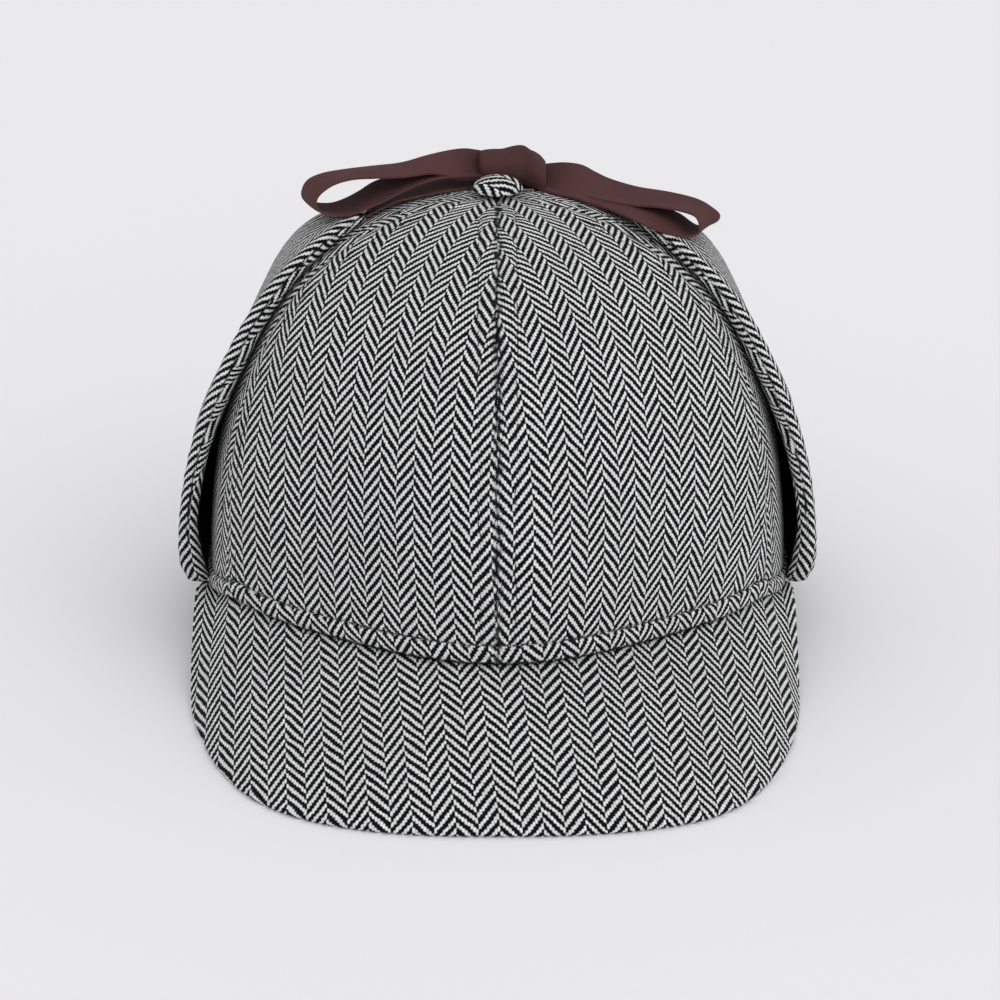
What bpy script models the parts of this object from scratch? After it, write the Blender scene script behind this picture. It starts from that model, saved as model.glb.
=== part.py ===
"""Deerstalker hat standing on its two peaks, ear flaps turned up and tied over the crown with a ribbon bow.

Metres, +Z up. The front of the hat looks along -Y, the wearer's left is +X. The origin is on the floor,
under the middle of the hat.

The crown is one surface, crown_point(azimuth, rise, outset): azimuth 0 is the front seam, +90 degrees the
side at +X; rise 0 is the hem and 1 the top; outset is the distance outside the cloth. Every piece that
lies on the crown is placed by that same function.
"""

import math

import bmesh
import bpy
from mathutils import Vector

# ---------------------------------------------------------------- driving sizes, metres
MM = 0.001
CROWN_HALF_WIDTH = 91.5 * MM
CROWN_HALF_LENGTH = 99.0 * MM
CROWN_HEIGHT = 108.0 * MM
HEM_HEIGHT = 27.5 * MM  # the hem over the floor, at the front and rear seams
HEM_SAG = 7.5 * MM  # how much lower the hem hangs at the sides
HEM_SAG_FROM = math.radians(55)
PANEL_COUNT = 6
PANEL_FLATNESS = 0.035  # a panel's middle lies this share of the radius inside the seams
SIDE_PRESS_LEFT = 0.012  # how far the tied flaps press the crown's sides in, as a share of the radius
SIDE_PRESS_RIGHT = 0.030
SIDE_PRESS_FOCUS = 8  # the larger, the narrower the pressed place
SIDE_PRESS_RISE = 0.53
SIDE_PRESS_SPREAD = 0.20
CLOTH = 2.0 * MM  # crown wall: cloth and its backing
PIECE_GAP = 0.3 * MM
WELT_RISE = 0.031  # top of the raised band of the crown just above the hem
WELT_RAISE = 0.8 * MM

# the crown's outline, a row every twelfth of the way from hem to top:
# (height, front and rear radius, side radius), each as a share of the crown's size
CROWN_ROWS = (
    (0.000, 1.000, 1.000),
    (0.126, 0.984, 0.993),
    (0.251, 0.962, 0.979),
    (0.374, 0.927, 0.956),
    (0.494, 0.877, 0.917),
    (0.608, 0.812, 0.863),
    (0.715, 0.729, 0.793),
    (0.807, 0.625, 0.703),
    (0.883, 0.510, 0.590),
    (0.939, 0.383, 0.461),
    (0.976, 0.253, 0.317),
    (0.993, 0.123, 0.164),
    (1.000, 0.000, 0.000),
)
# where the panels' mesh has its rings, finer at the hem's welt
PANEL_RISES = (
    (0.0, 0.015, 0.029, 0.037, 0.09, 0.17, 0.25, 0.33)
    + (0.42, 0.5, 0.58, 0.67, 0.75, 0.83, 0.9, 0.965)
)
# where it has its columns, as shares of the panel's width, finer at the seams
PANEL_ACROSS = (0.0, 0.02, 0.14, 0.26, 0.38, 0.5, 0.62, 0.74, 0.86, 0.98, 1.0)
SEAM_DROP = 0.0045  # how far the panel's sewn edge dips, as a share of the radius

# peaks: the rim is a broad oval on the floor, the inner edge is sewn to the hem
PEAK_HEM_ANGLE = math.radians(75)  # each end of the peak, as an azimuth on the hem
PEAK_RIM_HALF_WIDTH = 90.0 * MM
PEAK_RIM_REACH = 115.5 * MM  # from the oval's centre to the rim's middle
PEAK_RIM_CENTRE = 36.0 * MM  # the oval's centre in front of the hat's middle
PEAK_RIM_FULLNESS = 2.65  # exponent of the oval; 2 is an ellipse
PEAK_THICKNESS = 3.2 * MM
PEAK_CROWN_RISE = 1.5 * MM  # how much the peak's top bulges over a straight slope
PEAK_SEAM_TUCK = 1.6 * MM  # the inner edge lies this far inside the hem's outer line
PEAK_HEM_GAP = 0.7 * MM
PEAK_LIFT_FROM = 0.80  # towards each end the rim rises from the floor to the hem
PEAK_LIFT = 0.62  # as a share of the way from rim to hem, at the very end
PEAK_STATIONS = 30
PEAK_TOP_STEPS = (0.0, 0.16, 0.36, 0.58, 0.78, 0.93)
PEAK_NOSE_HEIGHT = 0.45 * PEAK_THICKNESS
RIM_ROUNDING = 0.5 * MM
RIM_SHOULDER = 0.36  # height of the rim's rounded shoulder over its nose, as a share of the thickness
RIM_FLAT_OUTER = 0.9 * MM  # the flattened strip that the rim rests on, measured in from the nose
RIM_FLAT_INNER = 4.2 * MM

# ear flap, a row from the fold at the hem to the tip: (rise on the crown, half width in degrees of azimuth,
# gap to the crown, rolled edge's thickness, middle's inner face and outer face over the crown, mm)
FLAP_ROWS = (
    (0.006, 15.5, 1.5, 2.2, 1.6, 3.6),
    (0.020, 18.6, 2.6, 4.6, 3.0, 5.8),
    (0.050, 19.8, 3.9, 6.2, 4.9, 7.6),
    (0.110, 20.0, 4.4, 6.2, 5.7, 8.2),
    (0.180, 20.2, 4.1, 6.2, 5.3, 7.8),
    (0.250, 20.8, 3.4, 6.2, 4.6, 7.1),
    (0.320, 21.6, 2.4, 6.0, 3.6, 5.8),
    (0.400, 22.6, 1.8, 5.6, 3.0, 4.7),
    (0.480, 23.8, 1.2, 5.0, 2.1, 3.6),
    (0.550, 24.8, 0.8, 4.5, 1.2, 2.9),
    (0.620, 24.4, 0.6, 4.0, 0.9, 2.7),
    (0.680, 22.6, 0.6, 3.4, 0.7, 2.6),
    (0.725, 19.6, 0.5, 2.9, 0.6, 2.6),
    (0.755, 15.0, 0.5, 2.4, 0.5, 2.5),
    (0.772, 8.0, 0.5, 2.0, 0.5, 2.4),
)
FLAP_REAR_SHARE = 0.30  # the rear edge's gap and thickness as a share of the front edge's
FLAP_STEPS = 26
FLAP_ROLL_WIDTH = 7.0 * MM
FLAP_LEAST_GAP = 0.5 * MM
FLAP_WELT_RISE = 0.06  # below this the flap clears the hem's welt too
FLAP_LEAST_ROLL = 1.4 * MM
LINING = 0.8 * MM
LINING_SEAT = 1.3 * MM  # the lining's inner face lies this far inside the flap's middle
LINING_MARGIN = 10.5 * MM  # how far the lining stops from the flap's front edge
LINING_REAR_SHARE = 0.42  # its rear edge, as a share of the flap's half width behind the middle
LINING_START = 0.15  # the stretch of the flap that is lined
LINING_END = 0.56

# button
BUTTON_RADIUS = 7.4 * MM
BUTTON_HALF_HEIGHT = 2.6 * MM
BUTTON_SEAT = 0.35 * MM

# ribbon and bow
RIBBON_WIDTH = 16.0 * MM
RIBBON_THICKNESS = 0.8 * MM
# middle lines on the crown, seen from above, mm: (across, front to back); the ties run from the knot to the
# flaps' tips, the tails from behind the knot down the rear of the crown
TIE_LEFT_ROWS = (
    (15.4, 12.6),
    (20.0, 9.0),
    (25.0, 5.8),
    (29.6, 3.0),
    (34.6, 0.8),
)
TIE_RIGHT_ROWS = (
    (-7.0, 14.0),
    (-14.0, 9.6),
    (-22.0, 5.4),
    (-28.6, 2.4),
    (-34.6, 0.8),
)
TAIL_LEFT_ROWS = (
    (11.0, 25.6),
    (13.0, 36.0),
    (16.5, 46.0),
    (21.0, 56.0),
    (26.0, 65.0),
)
TAIL_RIGHT_ROWS = (
    (-9.6, 25.6),
    (-12.6, 36.0),
    (-17.0, 46.0),
    (-20.0, 56.0),
    (-22.0, 66.0),
)
STRIP_CLEARANCE = 0.5 * MM

# knot: sections across, mm: (across, middle front to back, middle height, half depth, half height)
KNOT_ROWS = (
    (-5.4, 14.4, 140.2, 4.8, 3.4),
    (-3.6, 14.4, 140.3, 6.0, 4.5),
    (2.0, 14.6, 140.6, 6.6, 5.0),
    (8.0, 14.8, 140.6, 6.7, 5.2),
    (12.4, 15.0, 139.7, 6.2, 4.6),
    (14.4, 15.0, 139.2, 5.0, 3.4),
)
KNOT_SIDES = 16
KNOT_SQUARENESS = 2.6

# bow loops, mm, a row for each bend of the ribbon from the knot out and back again:
# (front edge across, to back, up, rear edge across, to back, up); across is along +X
LOOP_RIGHT_ROWS = (
    (-5.9, 7.6, 141.2, -5.9, 20.8, 142.8),
    (-11.5, 3.8, 141.8, -11.8, 19.4, 143.2),
    (-22.3, -0.6, 142.8, -23.5, 15.2, 141.6),
    (-35.0, -5.4, 142.9, -36.8, 10.6, 140.3),
    (-43.5, -8.3, 142.6, -46.4, 7.7, 140.2),
    (-49.6, -10.2, 140.9, -53.6, 5.9, 138.6),
    (-53.2, -11.0, 138.0, -57.6, 5.1, 135.5),
    (-52.8, -11.2, 135.2, -56.8, 5.1, 132.9),
    (-48.8, -10.8, 133.6, -51.4, 5.5, 132.0),
    (-41.8, -9.4, 133.4, -43.2, 6.7, 132.9),
    (-33.8, -6.4, 134.7, -36.0, 9.6, 135.2),
    (-23.5, -1.0, 137.2, -25.6, 14.2, 137.6),
    (-14.0, 4.6, 138.2, -14.2, 18.2, 138.7),
    (-5.9, 8.4, 138.0, -5.9, 20.8, 138.8),
)
LOOP_LEFT_ROWS = (
    (14.9, 6.2, 139.0, 14.9, 21.4, 139.4),
    (18.6, 3.6, 138.2, 19.2, 19.2, 138.8),
    (25.6, -0.6, 137.4, 26.8, 15.0, 137.8),
    (33.0, -4.4, 136.7, 34.8, 11.2, 136.6),
    (43.4, -8.6, 136.1, 46.0, 7.0, 135.1),
    (51.6, -12.0, 135.8, 55.6, 3.6, 134.3),
    (57.6, -14.3, 134.2, 62.8, 0.9, 131.9),
    (60.2, -15.4, 131.7, 66.0, -0.4, 128.8),
    (58.0, -15.8, 129.8, 63.2, -0.6, 127.2),
    (52.0, -15.6, 130.5, 55.4, -0.2, 128.8),
    (46.4, -14.3, 131.7, 48.4, 1.7, 131.8),
    (41.0, -12.0, 132.9, 42.2, 4.2, 133.5),
    (33.2, -8.4, 134.4, 34.0, 7.8, 135.1),
    (25.6, -4.4, 135.9, 26.0, 11.6, 136.6),
    (18.8, 1.6, 136.8, 18.8, 17.0, 137.5),
    (14.9, 5.2, 137.1, 14.9, 20.4, 137.8),
)

# ---------------------------------------------------------------- finishes: (colour, roughness)
WOOL_GREY = ((0.17, 0.17, 0.18, 1.0), 0.95)
LINING_BLACK = ((0.010, 0.010, 0.013, 1.0), 0.70)
RIBBON_BROWN = ((0.090, 0.045, 0.042, 1.0), 0.62)


# ---------------------------------------------------------------- small helpers
def new_material(name, finish):
    """A plain Principled finish of one colour and roughness."""
    colour, roughness = finish
    material = bpy.data.materials.new(name)
    material.use_nodes = True
    shader = material.node_tree.nodes["Principled BSDF"]
    shader.inputs["Base Color"].default_value = colour
    shader.inputs["Roughness"].default_value = roughness
    shader.inputs["Metallic"].default_value = 0.0
    material.diffuse_color = colour
    return material


def new_piece(name, mesh_builder, finish, collection):
    """An object from a bmesh, shaded smooth, with a material of its own."""
    mesh = bpy.data.meshes.new(name)
    mesh_builder.normal_update()
    mesh_builder.to_mesh(mesh)
    mesh_builder.free()
    mesh.shade_smooth()
    piece = bpy.data.objects.new(name, mesh)
    piece.data.materials.append(new_material(name + "_finish", finish))
    collection.objects.link(piece)
    return piece


def smooth_row(rows, place):
    """The row at a place along a table, 0 at its first row and 1 at its last, as a smooth curve."""
    span = len(rows) - 1
    position = min(max(place, 0.0), 1.0) * span
    i = min(int(position), span - 1)
    f = position - i
    before, start, end, after = (rows[min(max(k, 0), span)] for k in (i - 1, i, i + 1, i + 2))
    result = []
    for a, b, c, d in zip(before, start, end, after):
        slope_in, slope_out = (c - a) / 2, (d - b) / 2
        square = 3 * (c - b) - 2 * slope_in - slope_out
        cube = 2 * (b - c) + slope_in + slope_out
        result.append(b + f * (slope_in + f * (square + f * cube)))
    return result


def smooth_between(low, high, value):
    """0 below low, 1 above high, and an S curve between them."""
    share = min(max((value - low) / (high - low), 0.0), 1.0)
    return share * share * (3 - 2 * share)


def mapped_grid(columns, rows, place):
    """An open grid of columns by rows squares, each corner moved to place(across, up)."""
    builder = bmesh.new()
    bmesh.ops.create_grid(builder, x_segments=columns, y_segments=rows, size=0.5)
    for corner in builder.verts:
        corner.co = place(corner.co.x + 0.5, corner.co.y + 0.5)
    return builder


def loft(sections):
    """A closed solid through rings of equal length, bridged in order and capped at both ends."""
    builder = bmesh.new()
    rings = []
    for section in sections:
        corners = [builder.verts.new(point) for point in section]
        rings.append([builder.edges.new((a, b)) for a, b in zip(corners, corners[1:] + corners[:1])])
    for ring, following in zip(rings, rings[1:]):
        bmesh.ops.bridge_loops(builder, edges=ring + following)
    for ring in (rings[0], rings[-1]):
        bmesh.ops.contextual_create(builder, geom=ring)
    bmesh.ops.recalc_face_normals(builder, faces=builder.faces[:])
    return builder


def add_wall(piece, thickness, side):
    """Solidify: side -1 puts the wall behind the surface, 1 in front of it, 0 half each way."""
    wall = piece.modifiers.new("Wall", "SOLIDIFY")
    wall.thickness = thickness
    wall.offset = side
    wall.use_even_offset = True
    wall.use_quality_normals = True
    return wall


# ---------------------------------------------------------------- the crown's surface
def hem_drop(azimuth):
    """How far the hem hangs below its height at the front seam."""
    return HEM_SAG * smooth_between(math.sin(HEM_SAG_FROM), 1.0, abs(math.sin(azimuth)))


def plan_share(azimuth, rise):
    """The crown's radius as a share of its outline: flatter between seams, pressed in under the flaps."""
    flattening = PANEL_FLATNESS * (1 - math.cos(PANEL_COUNT * azimuth)) / 2
    press = SIDE_PRESS_LEFT if math.sin(azimuth) > 0 else SIDE_PRESS_RIGHT
    near_side = abs(math.sin(azimuth)) ** SIDE_PRESS_FOCUS
    near_rise = math.exp(-(((rise - SIDE_PRESS_RISE) / SIDE_PRESS_SPREAD) ** 2))
    return 1 - flattening - press * near_side * near_rise


def crown_surface(azimuth, rise):
    """A point of the crown's cloth."""
    height, front, side = smooth_row(CROWN_ROWS, rise)
    share = plan_share(azimuth, rise)
    return Vector(
        (
            CROWN_HALF_WIDTH * side * share * math.sin(azimuth),
            -CROWN_HALF_LENGTH * front * share * math.cos(azimuth),
            HEM_HEIGHT + CROWN_HEIGHT * height - hem_drop(azimuth) * (1 - height) ** 2,
        )
    )


def crown_normal(azimuth, rise):
    """The outward direction of the crown's cloth."""
    step = 0.002
    across = crown_surface(azimuth + step, rise) - crown_surface(azimuth - step, rise)
    low, high = max(rise - step, 0.0), min(rise + step, 1.0)
    up = crown_surface(azimuth, high) - crown_surface(azimuth, low)
    return across.cross(up).normalized()


def crown_point(azimuth, rise, outset=0.0):
    """A point at a distance outside the crown's cloth."""
    return crown_surface(azimuth, rise) + outset * crown_normal(azimuth, rise)


def crown_over(x, y, outset):
    """The point of the crown above a place in plan, moved out by outset; its rise is found by halving."""
    low, high = 0.2, 1.0
    while high - low > 1e-6:
        rise = (low + high) / 2
        _, front, side = smooth_row(CROWN_ROWS, rise)
        across, ahead = x / (CROWN_HALF_WIDTH * side), -y / (CROWN_HALF_LENGTH * front)
        azimuth = math.atan2(across, ahead)
        if math.hypot(across, ahead) < plan_share(azimuth, rise):
            low = rise
        else:
            high = rise
    return crown_point(azimuth, rise, outset)


# ---------------------------------------------------------------- the pieces
def make_crown_panel(name, start, collection):
    """One gore of the crown, from the seam at start to the next one."""

    def place(across, up):
        column = round(across * (len(PANEL_ACROSS) - 1))
        rise = PANEL_RISES[round(up * (len(PANEL_RISES) - 1))]
        radius = crown_surface(start, rise).xy.length
        seam_gap = PIECE_GAP / 2 / radius
        azimuth = start + seam_gap + PANEL_ACROSS[column] * (math.tau / PANEL_COUNT - 2 * seam_gap)
        outset = WELT_RAISE if rise < WELT_RISE else 0.0
        if column in (0, len(PANEL_ACROSS) - 1):
            outset -= SEAM_DROP * radius
        return crown_point(azimuth, rise, outset)

    builder = mapped_grid(len(PANEL_ACROSS) - 1, len(PANEL_RISES) - 1, place)
    panel = new_piece(name, builder, WOOL_GREY, collection)
    add_wall(panel, CLOTH, -1)
    return panel


def peak_section(share, end):
    """The ring of points through a peak at a share of its span, -1 to 1; end is -1 front, 1 rear."""
    azimuth = share * PEAK_HEM_ANGLE
    seam = crown_surface(azimuth, 0.0)
    inward = Vector((-seam.x, -seam.y, 0)).normalized()
    inner = seam + inward * PEAK_SEAM_TUCK - Vector((0, 0, PEAK_HEM_GAP))
    turn = share * math.pi / 2
    power = 2 / PEAK_RIM_FULLNESS
    nose = Vector(
        (
            math.copysign(PEAK_RIM_HALF_WIDTH * abs(math.sin(turn)) ** power, share),
            -PEAK_RIM_CENTRE - PEAK_RIM_REACH * max(math.cos(turn), 0.0) ** power,
            PEAK_NOSE_HEIGHT,
        )
    )
    lift = PEAK_LIFT * smooth_between(PEAK_LIFT_FROM, 1.0, abs(share))
    nose.yz = nose.yz.lerp(inner.yz, lift)
    slope = nose - inner
    out = Vector((slope.x, slope.y, 0)).normalized()
    up = slope.cross(Vector((0, 0, 1)).cross(slope)).normalized()
    bulges = [(step, up * PEAK_CROWN_RISE * 4 * step * (1 - step)) for step in PEAK_TOP_STEPS]
    top = [inner + slope * step + bulge for step, bulge in bulges]
    under = [inner + slope * step + bulge - up * PEAK_THICKNESS for step, bulge in bulges[-2::-1]]
    sole = nose - Vector((0, 0, PEAK_NOSE_HEIGHT))
    rim = [nose - out * RIM_ROUNDING + Vector((0, 0, PEAK_THICKNESS * RIM_SHOULDER)), nose]
    rim += [sole - out * RIM_FLAT_OUTER, sole - out * RIM_FLAT_INNER]
    return [Vector((p.x, p.y * -end, max(p.z, 0.0))) for p in top + rim + under]


def make_peak(name, end, collection):
    """A stiff peak, cloth over board, whose rim lies flat on the floor."""
    shares = [2 * i / PEAK_STATIONS - 1 for i in range(PEAK_STATIONS + 1)]
    builder = loft([peak_section(share, end) for share in shares])
    return new_piece(name, builder, WOOL_GREY, collection)


def flap_place(place):
    """The flap's measures at a place along it: angles in radians, lengths in metres."""
    rise, half_width, gap, roll, low, high = smooth_row(FLAP_ROWS, place)
    half = math.radians(half_width)
    half_length = half * CROWN_HALF_LENGTH * smooth_row(CROWN_ROWS, rise)[1]
    return rise, half, half_length, gap * MM, roll * MM, low * MM, high * MM


def flap_section(place, side):
    """The ring of points through a flap: across its inner face, then back over its outer face."""
    rise, half, half_length, gap, roll, low, high = flap_place(place)
    roll_share = min(FLAP_ROLL_WIDTH / half_length, 0.8)
    across = []
    for end in (-1, 1):
        least_gap = FLAP_LEAST_GAP + (WELT_RAISE if rise < FLAP_WELT_RISE else 0)
        edge_gap = max(gap * (1 if end < 0 else FLAP_REAR_SHARE), least_gap)
        edge_roll = max(roll * (1 if end < 0 else FLAP_REAR_SHARE), FLAP_LEAST_ROLL)
        body_low = low if end < 0 else (low + edge_gap) / 2
        body_high = high if end < 0 else (high + edge_gap + edge_roll) / 2
        half_way = [  # (share of the half width, inner face's outset, outer face's outset)
            (end, edge_gap + 0.30 * edge_roll, edge_gap + 0.70 * edge_roll),
            (end * (1 - 0.12 * roll_share), edge_gap + 0.04 * edge_roll, edge_gap + 0.94 * edge_roll),
            (end * (1 - 0.50 * roll_share), edge_gap, edge_gap + edge_roll),
            (end * (1 - roll_share), body_low, body_high),
            (end * 0.5 * (1 - roll_share), low, high),
        ]
        across += half_way + [(0.0, low, high)] if end < 0 else half_way[::-1]
    middle = side * math.pi / 2
    inner_face = [crown_point(middle + side * share * half, rise, inner) for share, inner, _ in across]
    outer_face = [crown_point(middle + side * share * half, rise, outer) for share, _, outer in across]
    return inner_face + outer_face[::-1]


def make_ear_flap(name, side, collection):
    """A padded ear flap with a rolled edge, folded up from the hem against the crown."""
    builder = loft([flap_section(i / FLAP_STEPS, side) for i in range(FLAP_STEPS + 1)])
    return new_piece(name, builder, WOOL_GREY, collection)


def make_flap_lining(name, side, collection):
    """The thin black lining on the flap's inner face."""

    def place(across, up):
        along = LINING_START + (LINING_END - LINING_START) * up
        rise, half, half_length, _, _, low, _ = flap_place(along)
        front = -half * (1 - LINING_MARGIN / half_length)
        rear = half * LINING_REAR_SHARE
        azimuth = side * (math.pi / 2 + front + (rear - front) * (across if side > 0 else 1 - across))
        return crown_point(azimuth, rise, low - LINING_SEAT + LINING)

    builder = mapped_grid(8, 12, place)
    lining = new_piece(name, builder, LINING_BLACK, collection)
    add_wall(lining, LINING, -1)
    return lining


def make_button(collection):
    """The cloth-covered button over the point where the six panels meet."""
    builder = bmesh.new()
    bmesh.ops.create_uvsphere(builder, u_segments=16, v_segments=8, radius=1.0)
    centre_height = HEM_HEIGHT + CROWN_HEIGHT + BUTTON_SEAT + BUTTON_HALF_HEIGHT * 0.55
    for corner in builder.verts:
        low = corner.co.z < 0
        corner.co.x *= BUTTON_RADIUS
        corner.co.y *= BUTTON_RADIUS
        corner.co.z *= BUTTON_HALF_HEIGHT * (0.55 if low else 1.45)
        corner.co.z += centre_height
    return new_piece("crown_button", builder, WOOL_GREY, collection)


def make_strip(name, rows, collection):
    """A length of ribbon lying on the crown, its middle line given from above."""

    def place(across, along):
        here = Vector(smooth_row(rows, along))
        ahead = Vector(smooth_row(rows, along + 0.01)) - Vector(smooth_row(rows, along - 0.01))
        rightward = Vector((ahead.y, -ahead.x)).normalized()
        spot = here * MM + rightward * RIBBON_WIDTH * (across - 0.5)
        return crown_over(spot.x, spot.y, STRIP_CLEARANCE)

    builder = mapped_grid(3, 8, place)
    strip = new_piece(name, builder, RIBBON_BROWN, collection)
    add_wall(strip, RIBBON_THICKNESS, 1)
    return strip


def make_knot(collection):
    """The bow's knot, a soft rounded block a little lower at its right end."""
    sections = []
    for across, back, up, half_depth, half_height in KNOT_ROWS:
        ring = []
        for i in range(KNOT_SIDES):
            turn = math.tau * i / KNOT_SIDES
            power = 2 / KNOT_SQUARENESS
            y = math.copysign(abs(math.cos(turn)) ** power, math.cos(turn)) * half_depth
            z = math.copysign(abs(math.sin(turn)) ** power, math.sin(turn)) * half_height
            ring.append(Vector((across, back + y, up + z)) * MM)
        sections.append(ring)
    return new_piece("bow_knot", loft(sections), RIBBON_BROWN, collection)


def make_loop(name, rows, collection):
    """A bow loop: one strip of ribbon out from the knot, round, and back."""

    def place(across, along):
        fx, fy, fz, rx, ry, rz = smooth_row(rows, along)
        front, rear = Vector((fx, fy, fz)), Vector((rx, ry, rz))
        return front.lerp(rear, across) * MM

    builder = mapped_grid(2, 2 * (len(rows) - 1), place)
    loop = new_piece(name, builder, RIBBON_BROWN, collection)
    add_wall(loop, RIBBON_THICKNESS, 0)
    return loop


def make_hat():
    """Every piece of the hat, in one collection."""
    for old in list(bpy.data.objects):
        bpy.data.objects.remove(old, do_unlink=True)
    hat = bpy.data.collections.new("deerstalker_hat")
    bpy.context.scene.collection.children.link(hat)

    sixth = math.tau / PANEL_COUNT
    places = ("front_left", "side_left", "rear_left", "rear_right", "side_right", "front_right")
    for i, place in enumerate(places):
        make_crown_panel("crown_panel_" + place, i * sixth, hat)
    make_peak("peak_front", -1, hat)
    make_peak("peak_rear", 1, hat)
    for side_name, side in (("left", 1), ("right", -1)):
        make_ear_flap("ear_flap_" + side_name, side, hat)
        make_flap_lining("flap_lining_" + side_name, side, hat)
    make_button(hat)
    make_knot(hat)
    make_strip("ribbon_tie_left", TIE_LEFT_ROWS, hat)
    make_strip("ribbon_tie_right", TIE_RIGHT_ROWS, hat)
    make_strip("bow_tail_left", TAIL_LEFT_ROWS, hat)
    make_strip("bow_tail_right", TAIL_RIGHT_ROWS, hat)
    make_loop("bow_loop_left", LOOP_LEFT_ROWS, hat)
    make_loop("bow_loop_right", LOOP_RIGHT_ROWS, hat)


make_hat()
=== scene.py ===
"""Cloth, ribbon, stitching and stage for a herringbone deerstalker hat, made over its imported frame.

Metres, +Z up, the front of the hat towards -Y. The crown is one surface, crown_point(azimuth, rise, outset):
azimuth 0 is the front seam and +90 degrees the side at +X, rise 0 is the hem and 1 the top. Every piece that
lies on the crown is placed by it. Each piece carries its own cloth map, in metres along and across the yarn.
"""

import math

import bmesh
import bpy
import numpy as np
from mathutils import Matrix, Vector


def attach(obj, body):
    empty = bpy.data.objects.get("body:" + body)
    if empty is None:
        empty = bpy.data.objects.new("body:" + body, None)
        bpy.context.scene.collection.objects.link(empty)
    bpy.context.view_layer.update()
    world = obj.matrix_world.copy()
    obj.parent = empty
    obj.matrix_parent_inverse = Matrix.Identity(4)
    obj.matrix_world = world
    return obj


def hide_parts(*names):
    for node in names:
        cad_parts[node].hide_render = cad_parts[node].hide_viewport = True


bl_info = {
    "name": "Deerstalker hat",
    "version": (1, 0, 0),
    "blender": (4, 5, 0),
    "location": "3D View > Sidebar > Hat",
    "description": "Makes a herringbone deerstalker hat with its ear flaps tied up by a ribbon bow",
    "category": "Mesh",
}

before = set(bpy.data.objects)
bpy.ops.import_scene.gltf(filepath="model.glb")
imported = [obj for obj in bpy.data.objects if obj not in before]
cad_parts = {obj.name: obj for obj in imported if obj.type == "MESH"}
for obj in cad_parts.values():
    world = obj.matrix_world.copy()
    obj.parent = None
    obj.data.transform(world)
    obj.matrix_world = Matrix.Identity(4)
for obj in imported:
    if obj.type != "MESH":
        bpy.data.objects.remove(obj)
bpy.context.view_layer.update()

MM = 0.001
CLOTH_MAP = "cloth"

# ---------------------------------------------------------------- the crown's shape, as in the imported frame
CROWN_HALF_WIDTH = 91.5 * MM
CROWN_HALF_LENGTH = 99.0 * MM
CROWN_HEIGHT = 108.0 * MM
HEM_HEIGHT = 27.5 * MM
HEM_SAG = 7.5 * MM
HEM_SAG_FROM = math.radians(55)
PANEL_COUNT = 6
SIXTH = math.tau / PANEL_COUNT
PANEL_FLATNESS = 0.035
SIDE_PRESS_LEFT = 0.022
SIDE_PRESS_RIGHT = 0.042
SIDE_PRESS_FOCUS = 8
SIDE_PRESS_RISE = 0.49
SIDE_PRESS_SPREAD = 0.17
CLOTH = 2.0 * MM
PANEL_END = 0.985  # the gores run in under the button
GORE_COLUMNS = 105  # points across a gore and up it: to the welt's edge, past its groove, and in all
WELT_ROWS = 16
GROOVE_ROWS = 24
GORE_ROWS = 127

# (height, front and rear radius, side radius), each as a share of the crown's size
CROWN_ROWS = (
    (0.000, 1.000, 1.000),
    (0.126, 0.984, 0.993),
    (0.251, 0.962, 0.979),
    (0.374, 0.927, 0.956),
    (0.494, 0.877, 0.917),
    (0.608, 0.812, 0.863),
    (0.715, 0.729, 0.793),
    (0.807, 0.625, 0.703),
    (0.883, 0.510, 0.590),
    (0.939, 0.383, 0.461),
    (0.976, 0.253, 0.317),
    (0.993, 0.123, 0.164),
    (1.000, 0.000, 0.000),
)

PICK_CLOSENESS = 1.06  # how much closer the picks lie than on flat cloth
GORES = ("front_left", "side_left", "rear_left", "rear_right", "side_right", "front_right")
BOWED_SEAMS = {1: 1, 5: -1}  # seams counted round from the front, and which way each bows: towards the flaps
# rises up such a seam, and how many degrees it bows there
SEAM_BOW = ((0.0, 0.15, 0.30, 0.45, 0.55, 0.66, 0.80, 1.0), (0.0, 2.0, 4.5, 6.5, 6.5, 4.0, 2.6, 1.0))
# gores with flat cloth: how far the yarn turns from the gore's middle line, in degrees, and how far from the
# seam beside the yarn's fixed edge the first column of the herringbone starts, mm
FLAT_YARN = {
    "side_left": (0.0, 5.0),
    "rear_left": (-6.5, 4.8),
    "rear_right": (6.5, 5.4),
    "side_right": (0.0, 5.6),
}
# gores stretched over the head: across and along their yarn, mm, as sums of 1, s, u, su, ss, uu, suu, ssu,
# uuu, sss, where s and u are sideways and up on the flat gore, in tenths of a metre
STRETCHED_YARN = {
    "front_left": (
        (46.7, 108.9, -21.3, -33.5, 7.3, 15.3, 29.2, -21.4, -4.1, -24.1),
        (0.0, 9.9, 111.8, 5.8, 15.9, -14.7, -4.4, -39.4, 7.4, 0.0),
    ),
    "front_right": (
        (-39.9, 92.0, 7.0, 0.8, 9.2, 6.2, 10.5, -2.4, -3.3, -19.5),
        (0.0, -10.9, 111.6, 2.7, 19.9, -13.3, -2.4, -53.2, 6.2, 0.0),
    ),
}

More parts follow.
